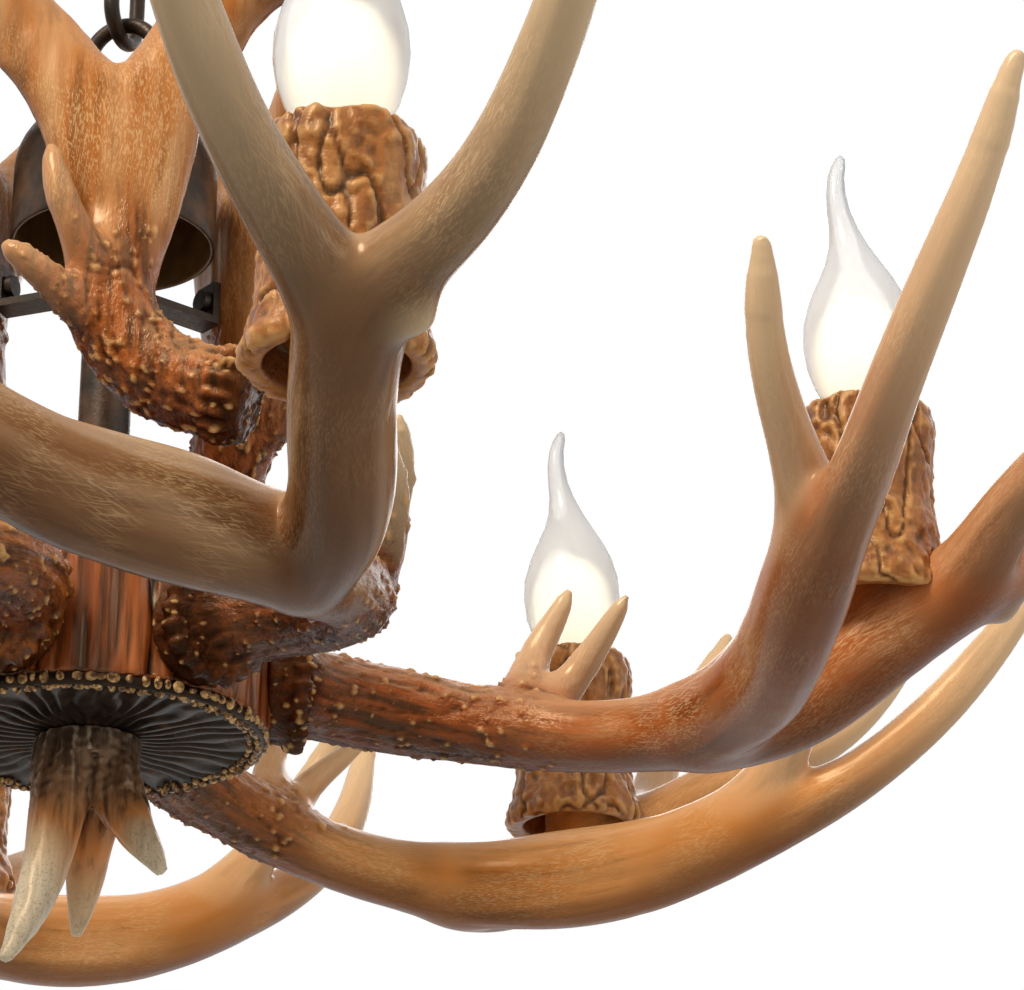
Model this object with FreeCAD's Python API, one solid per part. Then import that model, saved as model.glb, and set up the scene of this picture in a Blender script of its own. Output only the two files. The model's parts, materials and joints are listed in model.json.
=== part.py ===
import FreeCAD, Part
import math
import os

# Six-arm antler chandelier hung on a short chain.
# Millimetres, +Z up. The origin is the centre of the ceiling mount, so everything hangs below z = 0.
# The arm castings are described in an arm frame: x out from the hub's flat that the arm seats on,
# y to the left, and z above the level where the arms leave the hub.

Vector = FreeCAD.Vector
UP = Vector(0, 0, 1)
OUTWARD = Vector(1, 0, 0)
ACROSS = Vector(0, 1, 0)
ORIGIN = Vector(0, 0, 0)

# ---- ceiling fitting
CANOPY_DIAMETER = 120.0
CANOPY_HEIGHT = 28.0
CANOPY_WALL = 1.2
CANOPY_RIM = 4.0                # straight band at the ceiling
CANOPY_KNEE_RADIUS = 51.0
CANOPY_KNEE_DEPTH = 12.5
CANOPY_SHOULDER = 16.0          # radius of the flat centre of the canopy
CANOPY_SHOULDER_SLOPE = 8.0     # width of the slope round the flat centre
CANOPY_SHOULDER_RISE = 1.5
BRACKET_LENGTH = 104.0
BRACKET_WIDTH = 20.0
BRACKET_THICKNESS = 2.5
CEILING_SCREW_SPACING = 70.0
CEILING_SCREW_HOLE = 5.0
NIPPLE_DIAMETER = 10.0
NIPPLE_BORE = 6.0
NUT_FLATS = 17.0
NUT_HEIGHT = 4.0
THREAD_CLEARANCE = 0.05         # radial, between a threaded rod and its hole
TERMINAL_BLOCK_SIZE = (30.0, 14.0, 12.0)
TERMINAL_WAYS = 3
TERMINAL_BORE = 4.0
TERMINAL_SPACE = 3.0            # from the nut's flats to the terminal block

# ---- chain and loops
CHAIN_WIRE = 5.0
CHAIN_LINKS = 5
LINK_WIDTH = 24.0
LINK_LENGTH = 42.0
LOOP_DIAMETER = 28.0
LOOP_COLLAR_DIAMETER = 15.0
LOOP_COLLAR_HEIGHT = 6.0
LOOP_COLLAR_ROOF = 1.0          # closed end of a collar's threaded hole
LOOP_SINK = 1.0                 # how far a loop's wire sinks into its collar
LINK_CLEARANCE = 0.3            # between a link and the wire that it hangs on
CHAIN_TURN = -25.0              # turn of the loops about the chain's axis, degrees

# ---- bell and stem
BELL_DIAMETER = 64.0
BELL_HEIGHT = 50.0
BELL_WALL = 1.5
BELL_NECK = 20.0                # diameter of the bell's flat top
BELL_SLOPE = 10.0               # width of the gentle slope round the flat top
BELL_SLOPE_DROP = 5.0
BELL_SHOULDER_INSET = 3.0
BELL_SHOULDER_DROP = 14.0
BELL_SKIRT_DROP = 24.0          # where the straight skirt begins
STEM_DIAMETER = 16.0
STEM_WALL = 2.0
STEM_PLUG_LENGTH = 14.0         # threaded plug at the top of the stem
BELL_TO_ARMS = 194.0            # from the bell's top down to the level of the arms

# ---- hub
HUB_RADIUS = 52.0
HUB_FLAT_DEPTH = 1.0            # how deep the six flats that the arms seat on are cut
HUB_TOP = 22.0                  # above the level of the arms
HUB_BOTTOM = -16.0
HUB_WALL = 8.0
HUB_ROOF = 6.0
HUB_NUT_FLATS = 24.0
BASE_DISC_THICKNESS = 3.0
RIM_WIDTH = 2.0                 # width of the rim round the base disc
RIM_BEAD = 4.4
RIM_BEADS = 48
RIM_BEAD_INSET = 0.6            # bead centres inside the rim's outer radius
DISC_GROOVES = 24
DISC_GROOVE_WIDTH = 1.6
DISC_GROOVE_DEPTH = 1.0
DISC_GROOVE_START = 20.0
DISC_GROOVE_MARGIN = 5.0        # from a groove's end to the base disc's edge

# ---- arm castings
ARM_COUNT = 6
ARM_FIRST_AZIMUTH = 5.0
NECK_RADIUS = 15.5
NECK_LENGTH = 8.0
BURR_STANDOFF = 1.5             # how far the burr ring stands proud of the neck
BURR_LENGTH = 5.0
STUD_DIAMETER = 8.0
STUD_IN_ARM = 12.0
STUD_END_SPACE = 1.0            # hole past the end of its stud
STUD_TAIL = 2.0                 # thread past its nut
STUD_NUT_FLATS = 13.0
NUT_SEAT_CLEARANCE = 0.1        # between a nut's corners and the round bore that it bears on

# Stations of one arm: x, y, z, half width, half height.
ARM_PATHS = {
    "beam": [
        (3, 0, 3, 14, 14), (15, 10, 4, 13.5, 13.5), (39, 16, 2, 13.5, 13.5),
        (67, 8, -5, 12, 12), (99, -14, -15, 10.5, 11), (121, -44, -20, 11, 13),
        (130, -78, -20, 12, 16.5), (129, -112, -18, 11.5, 15.5), (128, -146, -10, 10.5, 12),
        (130, -177, 2, 8.8, 8.8), (133, -200, 18, 7.8, 7.8), (142, -224, 46, 6.6, 6.6),
        (153, -242, 78, 4.4, 4.4), (157, -249, 92, 2.4, 2.4),
    ],
    "crown_fork": [
        (129, -116, -17, 8, 9), (127, -138, -9, 9.5, 10.5), (122, -157, 5, 8.5, 9),
        (115, -168, 18, 7, 7), (107, -180, 34, 6, 6), (103, -191, 50, 4.5, 4.5),
        (101.5, -198, 61, 2.4, 2.4),
    ],
    "lamp_branch": [
        (117, -40, -19, 8, 9), (133, -44, -21, 11.5, 12), (153, -52, -15, 13, 13),
        (177, -68, 2, 13, 13), (203, -76, 17, 11.5, 11), (227, -70, 31, 9, 9),
        (251, -66, 58, 7.6, 7.6), (273, -69, 88, 6, 6), (287, -75, 112, 3.8, 3.8),
        (291, -77, 120, 2.2, 2.2),
    ],
    "side_tine": [
        (183, -71, 5, 8, 8), (197, -88, 19, 10.5, 10), (207, -110, 33, 9, 9),
        (224, -138, 50, 8, 8), (236, -160, 76, 6.4, 6.4), (242, -172, 98, 4, 4),
        (244, -176, 106, 2.4, 2.4),
    ],
    "front_brow": [
        (83, 0, -9, 7, 7), (92, 2, 3, 6.5, 6.5), (101, -2, 15, 4.6, 4.6),
        (108, -11, 26, 3, 3), (111, -15, 31, 1.6, 1.6),
    ],
    "rear_brow": [
        (76, 2, -6, 7, 7), (83, 6, 9, 6.6, 6.6), (89, 8, 23, 4.6, 4.6),
        (95, 4, 34, 3, 3), (97, 2, 39, 1.6, 1.6),
    ],
}
# How each casting is turned in its seat: swing about Z, lift of its far end, twist, in degrees.
ARM_SEATS = [
    (1.0, 2.0, 0.0),
    (-6.0, 0.5, 2.0),
    (-8.0, -7.0, -6.0),
    (-2.0, 0.0, 0.0),
    (-4.0, 0.0, 1.0),
    (-5.0, -3.0, 1.0),
]

# ---- lamp cups, holders and lamps
CUP_SEAT = (171.0, -66.0, 10.0)  # foot of the cup on the lamp branch, arm frame
CUP_FOOT_RADIUS = 24.0
CUP_WAIST_RADIUS = 19.0
CUP_TOP_RADIUS = 20.5
CUP_HEIGHT = 62.0
CUP_BORE_RADIUS = 15.5
CUP_FLOOR = 10.0                # underside of the cup's floor above its foot
CUP_FLOOR_THICKNESS = 3.0
CUP_SADDLE_GAP = 1.5            # between the cup's foot and the branch under it
CUP_WALL = 3.0                  # wall of the cup's hollow foot
BOSS_RADIUS = 10.0
BOSS_HEIGHT = 24.0
HOLDER_RADIUS = 13.0
HOLDER_HEIGHT = 44.0
HOLDER_BASE = 8.0
CAP_RADIUS = 6.9
CAP_HEIGHT = 25.0
CAP_CLEARANCE = 0.08            # lamp cap in its holder, radial
CAP_LIFT = 0.5                  # lamp cap above the floor of its bore, and glass above the holder
CAP_CONTACT_RADIUS = 3.9
CAP_CONTACT_HEIGHT = 3.0
CUP_SCREW_DIAMETER = 4.0
CUP_SCREW_HEAD = 7.5
CUP_SCREW_HEAD_HEIGHT = 2.5
CUP_SCREW_HEAD_SPACE = 0.3      # round a screw's head in its well
CUP_SCREW_LENGTH = 16.0
# Glass of the candle lamp: offset to the side, height above the cap, radius.
GLASS_STATIONS = [
    (0, 0, 8.0), (0, 6, 10.5), (0, 18, 15.5), (0, 30, 17.5), (0, 42, 16.0), (0, 52, 11.5),
    (-1.5, 60, 7.5), (-4.5, 69, 4.4), (-6.5, 78, 3.0), (-5.5, 87, 2.4), (-4.0, 92, 1.6),
]
GLASS_WALL = 1.0
GLASS_STEPS = 22                # straight-sided steps along the glass
GLASS_INNER_STEPS = 18          # steps of the hollow, which stops short of the solid tip
GLASS_BEND_TURN = 20.0          # which way the bent tips point, degrees

# ---- upper antlers and their bracket
UPPER_COUNT = 3
UPPER_PATHS = {
    "beam": [
        (44, -57, 67, 13, 13), (28, -54, 72, 13.5, 13.5), (14, -50, 80, 13.5, 13),
        (3, -49, 95, 13, 12), (2, -48, 112, 13, 10), (3, -48, 129, 16.5, 8),
        (3, -48, 146, 21, 7.5), (1, -48, 166, 23.5, 7), (0, -48, 179, 20, 6),
    ],
    "left_branch": [
        (-2, -48, 146, 12, 6), (-10, -48, 167, 14, 7), (-21, -48, 183, 14, 7.2),
        (-34, -48, 199, 13, 7.2), (-50, -53, 220, 9.5, 7.5), (-63, -61, 246, 7.5, 7),
        (-70, -69, 272, 5, 5), (-72, -73, 288, 2.6, 2.6),
    ],
    "left_tine": [
        (-36, -49, 200, 8, 6), (-56, -50, 216, 7.5, 6.5), (-78, -56, 226, 6, 6),
        (-96, -66, 243, 4, 4), (-102, -72, 253, 2.2, 2.2),
    ],
    "right_branch": [
        (6, -48, 147, 12, 6), (12, -48, 168, 14, 7), (20, -48, 186, 14, 7.2),
        (30, -49, 204, 13.5, 7.2), (42, -54, 226, 10, 7.5), (54, -62, 252, 7.5, 7),
        (60, -70, 279, 5, 5), (61, -74, 293, 2.6, 2.6),
    ],
    "right_tine": [
        (32, -50, 202, 8, 6), (52, -54, 216, 7.5, 6.5), (70, -62, 233, 5.6, 5.6),
        (80, -72, 252, 3.6, 3.6), (83, -76, 262, 2.2, 2.2),
    ],
    "upper_brow": [
        (3, -50, 92, 7.5, 7.5), (-4, -54, 103, 6.6, 6.6), (-9, -60, 116, 6, 6),
        (-15, -63, 130, 4.8, 4.8), (-18, -63, 142, 3, 3), (-19, -63, 146, 1.6, 1.6),
    ],
    "lower_brow": [
        (5, -50, 89, 7, 7), (-3, -54, 93, 6.6, 6.6), (-14, -60, 99, 5.6, 5.6),
        (-23, -63, 106, 4.4, 4.4), (-29, -64, 110, 3, 3), (-31, -64, 112, 1.8, 1.8),
    ],
}
BRACKET_LEVEL = 128.0           # height of the upper antlers' bracket above the arms
BRACKET_RING_RADIUS = 12.0
BRACKET_RING_HEIGHT = 6.0
BRACKET_ARM_WIDTH = 9.0
BRACKET_ARM_THICKNESS = 2.5
BRACKET_REACH = 38.5            # from the axis to the face that an antler seats on
ANTLER_BOSS_RADIUS = 6.0
ANTLER_BOSS_DEPTH = 9.0
ANTLER_SCREW_DIAMETER = 4.0
ANTLER_SCREW_HEAD = 7.0
ANTLER_SCREW_HEAD_HEIGHT = 2.5
ANTLER_SCREW_LENGTH = 10.5
UPPER_AZIMUTH = -86.0           # where the first upper antler's boss stands

# ---- finial
FINIAL_TINES = [
    [(-4, -4, 0, 11), (-7, -7, -14, 9), (-10, -12, -36, 7), (-15, -20, -57, 4.5), (-20, -27, -70, 1.6)],
    [(2, 5, 0, 11), (2, 7, -13, 8.5), (1, 9, -29, 6.5), (0, 11, -43, 4), (-1, 12, -52, 1.6)],
    [(5, -3, 0, 11), (8, -5, -11, 8.5), (13, -10, -23, 6.5), (19, -16, -34, 4.2), (23, -19, -41, 1.8)],
]
FINIAL_CROWN_RADIUS = 15.5
FINIAL_CROWN_HEIGHT = 8.0
FINIAL_INSET = 4.0              # the tines' roots below the crown's top
FINIAL_STUD_LENGTH = 22.0

# ---- derived levels
LINK_RISE = CHAIN_WIRE + LINK_CLEARANCE
CANOPY_BOTTOM = -CANOPY_HEIGHT
LOOP_RING_RADIUS = (LOOP_DIAMETER - CHAIN_WIRE) / 2
TOP_LOOP_CENTRE = CANOPY_BOTTOM - LOOP_COLLAR_HEIGHT - LOOP_DIAMETER / 2 + LOOP_SINK
LINK_SPAN = LINK_LENGTH - CHAIN_WIRE
FIRST_LINK_TOP = TOP_LOOP_CENTRE - LOOP_RING_RADIUS + LINK_RISE
LINK_PITCH = LINK_SPAN - LINK_RISE
LAST_LINK_BOTTOM = FIRST_LINK_TOP - (CHAIN_LINKS - 1) * LINK_PITCH - LINK_SPAN
LOW_LOOP_CENTRE = LAST_LINK_BOTTOM + LINK_RISE - LOOP_RING_RADIUS
BELL_TOP = LOW_LOOP_CENTRE - LOOP_DIAMETER / 2 + LOOP_SINK - LOOP_COLLAR_HEIGHT
ARM_LEVEL = BELL_TOP - BELL_TO_ARMS
NIPPLE_RADIUS = NIPPLE_DIAMETER / 2
STEM_RADIUS = STEM_DIAMETER / 2
HUB_BORE = HUB_RADIUS - HUB_WALL
HUB_FLAT = HUB_RADIUS - HUB_FLAT_DEPTH
BASE_DISC_RADIUS = HUB_RADIUS - RIM_WIDTH
BASE_DISC_BOTTOM = HUB_BOTTOM - BASE_DISC_THICKNESS


# ---- helpers
def at_arms(height):
    """Height above the arms' level, as a height in the part's frame."""
    return ARM_LEVEL + height


def cylinder(radius, height, base, axis=UP):
    return Part.makeCylinder(radius, height, base, axis)


def tube(outer, inner, height, base):
    return cylinder(outer, height, base).cut(cylinder(inner, height, base))


def hexagon_prism(flats, height, base, axis=UP):
    radius = flats / math.sqrt(3)
    side = axis.cross(UP) if abs(axis.z) < 0.9 else Vector(1, 0, 0)
    side.normalize()
    corner = FreeCAD.Rotation(axis, 60)
    points = []
    for _ in range(7):
        points.append(base + side * radius)
        side = corner.multVec(side)
    face = Part.Face(Part.makePolygon(points))
    return face.extrude(axis * height)


def revolved(profile, base):
    """A closed solid turned about the vertical through base, from (radius, height) points."""
    points = [Vector(r, 0, z) for r, z in profile]
    face = Part.Face(Part.makePolygon(points + points[:1]))
    solid = face.revolve(ORIGIN, UP, 360)
    solid.translate(base)
    return solid


def fused(shapes):
    whole = shapes[0].fuse(shapes[1:]) if len(shapes) > 1 else shapes[0]
    return whole.removeSplitter()


def station_direction(points, index):
    ahead = points[min(index + 1, len(points) - 1)]
    behind = points[max(index - 1, 0)]
    direction = ahead - behind
    return direction.normalize()


def oval(centre, direction, half_width, half_height, rise_axis):
    """A closed smooth oval square to direction, with its height as near to rise_axis as it can be."""
    side = direction.cross(rise_axis)
    side.normalize()
    rise = side.cross(direction)
    points = []
    for step in range(8):
        angle = math.radians(45 * step)
        points.append(centre + side * (half_width * math.cos(angle)) + rise * (half_height * math.sin(angle)))
    curve = Part.BSplineCurve()
    curve.interpolate(Points=points, PeriodicFlag=True)
    return Part.Wire([curve.toShape()])


def antler_branch(stations, rise_axis=UP):
    points = [Vector(x, y, z) for x, y, z, _, _ in stations]
    rings = []
    for index, (_, _, _, half_width, half_height) in enumerate(stations):
        direction = station_direction(points, index)
        rings.append(oval(points[index], direction, half_width, half_height, rise_axis))
    return Part.makeLoft(rings, True, False)


def turned(shape, degrees, centre=ORIGIN, axis=UP):
    copy = shape.copy()
    copy.rotate(centre, axis, degrees)
    return copy


def save(name, shape):
    if not shape.isValid():
        print("not valid:", name)
    shape.exportStep("parts/" + name + ".step")
    print(name, len(shape.Solids), round(shape.Volume))


# ---- ceiling fitting
def canopy():
    outer = CANOPY_DIAMETER / 2
    shoulder = CANOPY_SHOULDER
    slope = CANOPY_SHOULDER + CANOPY_SHOULDER_SLOPE
    hole = NIPPLE_RADIUS + THREAD_CLEARANCE
    bottom = CANOPY_BOTTOM
    slope_level = bottom + CANOPY_SHOULDER_RISE
    wall = CANOPY_WALL
    profile = [
        (outer, 0), (outer, -CANOPY_RIM), (CANOPY_KNEE_RADIUS, -CANOPY_KNEE_DEPTH), (slope, slope_level),
        (shoulder, bottom), (hole, bottom), (hole, bottom + wall), (shoulder, bottom + wall),
        (slope, slope_level + wall), (CANOPY_KNEE_RADIUS - wall, wall / 2 - CANOPY_KNEE_DEPTH),
        (outer - wall, -CANOPY_RIM), (outer - wall, 0),
    ]
    return revolved(profile, ORIGIN)


def canopy_bracket():
    bar = Part.makeBox(
        BRACKET_LENGTH, BRACKET_WIDTH, BRACKET_THICKNESS,
        Vector(-BRACKET_LENGTH / 2, -BRACKET_WIDTH / 2, -BRACKET_THICKNESS))
    hole_radius = NIPPLE_RADIUS + THREAD_CLEARANCE
    bar = bar.cut(cylinder(hole_radius, BRACKET_THICKNESS, Vector(0, 0, -BRACKET_THICKNESS)))
    for side in (-1, 1):
        place = Vector(side * CEILING_SCREW_SPACING / 2, 0, -BRACKET_THICKNESS)
        bar = bar.cut(cylinder(CEILING_SCREW_HOLE / 2, BRACKET_THICKNESS, place))
    return bar


def canopy_nipple():
    bottom = CANOPY_BOTTOM - LOOP_COLLAR_HEIGHT + LOOP_COLLAR_ROOF
    return tube(NIPPLE_RADIUS, NIPPLE_BORE / 2, -bottom, Vector(0, 0, bottom))


def canopy_nuts():
    """One nut under the bracket and one inside the canopy's floor."""
    nuts = []
    for level in (-BRACKET_THICKNESS - NUT_HEIGHT, CANOPY_BOTTOM + CANOPY_WALL):
        nut = hexagon_prism(NUT_FLATS, NUT_HEIGHT, Vector(0, 0, level))
        hole = cylinder(NIPPLE_RADIUS + THREAD_CLEARANCE, NUT_HEIGHT, Vector(0, 0, level))
        nuts.append(nut.cut(hole))
    return Part.makeCompound(nuts)


def terminal_block():
    length, width, height = TERMINAL_BLOCK_SIZE
    corner = Vector(NUT_FLATS / 2 + TERMINAL_SPACE, -width / 2, -BRACKET_THICKNESS - height)
    block = Part.makeBox(length, width, height, corner)
    for index in range(TERMINAL_WAYS):
        place = corner + Vector(length * (index + 0.5) / TERMINAL_WAYS, 0, height / 2)
        block = block.cut(cylinder(TERMINAL_BORE / 2, width, place, ACROSS))
    return block


# ---- chain
def wire_ring(centre, turn):
    ring = Part.makeTorus(LOOP_RING_RADIUS, CHAIN_WIRE / 2, centre, ACROSS)
    return turned(ring, turn, centre)


def canopy_loop():
    collar_base = Vector(0, 0, CANOPY_BOTTOM - LOOP_COLLAR_HEIGHT)
    collar = cylinder(LOOP_COLLAR_DIAMETER / 2, LOOP_COLLAR_HEIGHT, collar_base)
    hole_depth = LOOP_COLLAR_HEIGHT - LOOP_COLLAR_ROOF
    hole_base = Vector(0, 0, CANOPY_BOTTOM - hole_depth)
    collar = collar.cut(cylinder(NIPPLE_RADIUS + THREAD_CLEARANCE, hole_depth, hole_base))
    ring = wire_ring(Vector(0, 0, TOP_LOOP_CENTRE), CHAIN_TURN)
    return collar.fuse(ring)


def chain_link(index):
    """Link number index from the top, with straight legs and round ends."""
    top = FIRST_LINK_TOP - index * LINK_PITCH
    bend = (LINK_WIDTH - CHAIN_WIRE) / 2
    wire = CHAIN_WIRE / 2
    upper = Vector(0, 0, top - bend)
    lower = Vector(0, 0, top - LINK_SPAN + bend)
    upper_bend = Part.makeTorus(bend, wire, upper, ACROSS)
    lower_bend = Part.makeTorus(bend, wire, lower, ACROSS)
    size = LINK_WIDTH * 2
    above = Part.makeBox(size, size, size, upper + Vector(-size / 2, -size / 2, 0))
    below = Part.makeBox(size, size, size, lower + Vector(-size / 2, -size / 2, -size))
    legs = [cylinder(wire, upper.z - lower.z, lower + Vector(side * bend, 0, 0)) for side in (-1, 1)]
    link = fused([upper_bend.common(above), lower_bend.common(below)] + legs)
    quarter = 90 if index % 2 == 0 else 0
    return turned(link, CHAIN_TURN + quarter)


def fixture_loop():
    collar_base = Vector(0, 0, BELL_TOP)
    collar = cylinder(LOOP_COLLAR_DIAMETER / 2, LOOP_COLLAR_HEIGHT, collar_base)
    hole_depth = LOOP_COLLAR_HEIGHT - LOOP_COLLAR_ROOF
    collar = collar.cut(cylinder(NIPPLE_RADIUS + THREAD_CLEARANCE, hole_depth, collar_base))
    ring = wire_ring(Vector(0, 0, LOW_LOOP_CENTRE), CHAIN_TURN)
    return collar.fuse(ring)


# ---- bell and stem
def bell_cap():
    outer = BELL_DIAMETER / 2
    neck = BELL_NECK / 2
    slope = neck + BELL_SLOPE
    shoulder = outer - BELL_SHOULDER_INSET
    wall = BELL_WALL
    hole = NIPPLE_RADIUS + THREAD_CLEARANCE
    profile = [
        (hole, 0), (neck, 0), (slope, -BELL_SLOPE_DROP), (shoulder, -BELL_SHOULDER_DROP),
        (outer, -BELL_SKIRT_DROP), (outer, -BELL_HEIGHT), (outer - wall, -BELL_HEIGHT),
        (outer - wall, -BELL_SKIRT_DROP), (shoulder - wall, -BELL_SHOULDER_DROP - wall / 2),
        (slope - wall / 3, -BELL_SLOPE_DROP - wall), (neck, -wall), (hole, -wall),
    ]
    return revolved(profile, Vector(0, 0, BELL_TOP))


def stem_top():
    return BELL_TOP - BELL_WALL - NUT_HEIGHT


def stem_nipple():
    """Threaded tube from the loop's collar down into the stem."""
    top = BELL_TOP + LOOP_COLLAR_HEIGHT - LOOP_COLLAR_ROOF
    bottom = stem_top() - STEM_PLUG_LENGTH
    return tube(NIPPLE_RADIUS, NIPPLE_BORE / 2, top - bottom, Vector(0, 0, bottom))


def bell_nut():
    base = Vector(0, 0, stem_top())
    nut = hexagon_prism(NUT_FLATS, NUT_HEIGHT, base)
    return nut.cut(cylinder(NIPPLE_RADIUS + THREAD_CLEARANCE, NUT_HEIGHT, base))


def stem_pipe():
    top = stem_top()
    bottom = at_arms(HUB_TOP - HUB_ROOF - NUT_HEIGHT - STUD_TAIL)
    pipe = tube(STEM_RADIUS, STEM_RADIUS - STEM_WALL, top - bottom, Vector(0, 0, bottom))
    plug_base = Vector(0, 0, top - STEM_PLUG_LENGTH)
    plug = tube(STEM_RADIUS - STEM_WALL / 2, NIPPLE_RADIUS + THREAD_CLEARANCE, STEM_PLUG_LENGTH, plug_base)
    return pipe.fuse(plug).removeSplitter()


def stem_nuts():
    """Nuts above and below the hub's roof."""
    nuts = []
    for level in (at_arms(HUB_TOP), at_arms(HUB_TOP - HUB_ROOF) - NUT_HEIGHT):
        nut = hexagon_prism(HUB_NUT_FLATS, NUT_HEIGHT, Vector(0, 0, level))
        nuts.append(nut.cut(cylinder(STEM_RADIUS + THREAD_CLEARANCE, NUT_HEIGHT, Vector(0, 0, level))))
    return Part.makeCompound(nuts)


# ---- hub
def arm_azimuth(index):
    return ARM_FIRST_AZIMUTH + index * 360.0 / ARM_COUNT


def hub_trunk():
    height = HUB_TOP - HUB_BOTTOM
    base = Vector(0, 0, at_arms(HUB_BOTTOM))
    body = cylinder(HUB_RADIUS, height, base)
    body = body.cut(cylinder(HUB_BORE, height - HUB_ROOF, base))
    body = body.cut(cylinder(STEM_RADIUS + THREAD_CLEARANCE, height, base))
    for index in range(ARM_COUNT):
        azimuth = arm_azimuth(index)
        flat = Part.makeBox(HUB_WALL, 4 * NECK_RADIUS, height, Vector(HUB_FLAT, -2 * NECK_RADIUS, base.z))
        hole = cylinder(STUD_DIAMETER / 2 + THREAD_CLEARANCE, HUB_RADIUS, Vector(0, 0, at_arms(0)), OUTWARD)
        body = body.cut(turned(flat, azimuth)).cut(turned(hole, azimuth))
    return body


def hub_base_disc():
    base = Vector(0, 0, at_arms(BASE_DISC_BOTTOM))
    disc = cylinder(BASE_DISC_RADIUS, BASE_DISC_THICKNESS, base)
    groove_length = BASE_DISC_RADIUS - DISC_GROOVE_MARGIN - DISC_GROOVE_START
    groove_corner = base + Vector(DISC_GROOVE_START, -DISC_GROOVE_WIDTH / 2, 0)
    groove = Part.makeBox(groove_length, DISC_GROOVE_WIDTH, DISC_GROOVE_DEPTH, groove_corner)
    grooves = [turned(groove, step * 360.0 / DISC_GROOVES) for step in range(DISC_GROOVES)]
    disc = disc.cut(grooves)
    return disc.cut(cylinder(STUD_DIAMETER / 2 + THREAD_CLEARANCE, BASE_DISC_THICKNESS, base))


def hub_rim():
    """Beaded ring round the base disc."""
    base = Vector(0, 0, at_arms(BASE_DISC_BOTTOM))
    band = tube(HUB_RADIUS, BASE_DISC_RADIUS, BASE_DISC_THICKNESS, base)
    bead_centre = base + Vector(HUB_RADIUS - RIM_BEAD_INSET, 0, BASE_DISC_THICKNESS - RIM_BEAD / 2)
    bead = Part.makeSphere(RIM_BEAD / 2, bead_centre)
    beads = [turned(bead, step * 360.0 / RIM_BEADS) for step in range(RIM_BEADS)]
    keep_base = base + Vector(0, 0, BASE_DISC_THICKNESS - RIM_BEAD)
    keep = tube(HUB_RADIUS + RIM_BEAD, BASE_DISC_RADIUS, RIM_BEAD, keep_base)
    return band.fuse(beads).common(keep)


def arm_studs():
    inner = HUB_BORE - NUT_HEIGHT - STUD_TAIL
    length = HUB_FLAT - inner + STUD_IN_ARM
    stud = cylinder(STUD_DIAMETER / 2, length, Vector(inner, 0, at_arms(0)), OUTWARD)
    return Part.makeCompound([turned(stud, arm_azimuth(index)) for index in range(ARM_COUNT)])


def arm_nuts():
    place = Vector(nut_seat() - NUT_HEIGHT, 0, at_arms(0))
    nut = hexagon_prism(STUD_NUT_FLATS, NUT_HEIGHT, place, OUTWARD)
    hole = cylinder(STUD_DIAMETER / 2 + THREAD_CLEARANCE, NUT_HEIGHT, place, OUTWARD)
    nut = nut.cut(hole)
    return Part.makeCompound([turned(nut, arm_azimuth(index)) for index in range(ARM_COUNT)])


def nut_seat():
    """Where a nut's corners bear on the round bore of the hub."""
    half_corner = STUD_NUT_FLATS / math.sqrt(3)
    return math.sqrt(HUB_BORE ** 2 - half_corner ** 2) - NUT_SEAT_CLEARANCE


# ---- arms
def seat_rotation(seat):
    swing, lift, twist = seat
    rotation = FreeCAD.Rotation(UP, swing)
    rotation = rotation.multiply(FreeCAD.Rotation(ACROSS, -lift))
    return rotation.multiply(FreeCAD.Rotation(OUTWARD, twist))


def placed_on_arm(shape, index):
    """Move a shape from the arm frame of a seated casting to the part's frame."""
    copy = shape.copy()
    pivot = OUTWARD * NECK_LENGTH
    copy.Placement = FreeCAD.Placement(OUTWARD * HUB_FLAT, seat_rotation(ARM_SEATS[index]), pivot)
    copy = turned(copy, arm_azimuth(index))
    copy.translate(Vector(0, 0, ARM_LEVEL))
    return copy


def cup_foot(index):
    """Where the foot of a cup's axis stands, in the part's frame."""
    return placed_on_arm(Part.Vertex(*CUP_SEAT), index).Point


def arm_casting():
    return fused([antler_branch(stations) for stations in ARM_PATHS.values()])


def saddle_clearance():
    """The lamp branch and side tine with room round them, which the cup's foot clears."""
    branches = []
    for name in ("lamp_branch", "side_tine"):
        thick = []
        for x, y, z, half_width, half_height in ARM_PATHS[name]:
            thick.append((x, y, z, half_width + CUP_SADDLE_GAP, half_height + CUP_SADDLE_GAP))
        branches.append(antler_branch(thick))
    return fused(branches)


def arm_antler(index, casting):
    azimuth = arm_azimuth(index)
    seat = Vector(HUB_FLAT, 0, ARM_LEVEL)
    neck = cylinder(NECK_RADIUS, NECK_LENGTH, seat, OUTWARD)
    burr = cylinder(NECK_RADIUS + BURR_STANDOFF, BURR_LENGTH, seat + OUTWARD * NECK_LENGTH, OUTWARD)
    stem = turned(neck.fuse(burr), azimuth)
    boss_top = cup_foot(index) + Vector(0, 0, CUP_FLOOR)
    boss = cylinder(BOSS_RADIUS, BOSS_HEIGHT, boss_top - Vector(0, 0, BOSS_HEIGHT))
    reach = 2 * HUB_RADIUS
    hub_side = Part.makeBox(reach, 2 * reach, 2 * reach, seat - Vector(reach, reach, reach))
    arm = placed_on_arm(casting, index).cut(turned(hub_side, azimuth)).fuse([stem, boss])
    stud_hole = cylinder(STUD_DIAMETER / 2 + THREAD_CLEARANCE, STUD_IN_ARM + STUD_END_SPACE, seat, OUTWARD)
    screw_depth = CUP_SCREW_LENGTH - HOLDER_BASE - CUP_FLOOR_THICKNESS + STUD_END_SPACE
    screw_radius = CUP_SCREW_DIAMETER / 2 + THREAD_CLEARANCE
    screw_hole = cylinder(screw_radius, screw_depth, boss_top - Vector(0, 0, screw_depth))
    return arm.cut([turned(stud_hole, azimuth), screw_hole])


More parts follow.
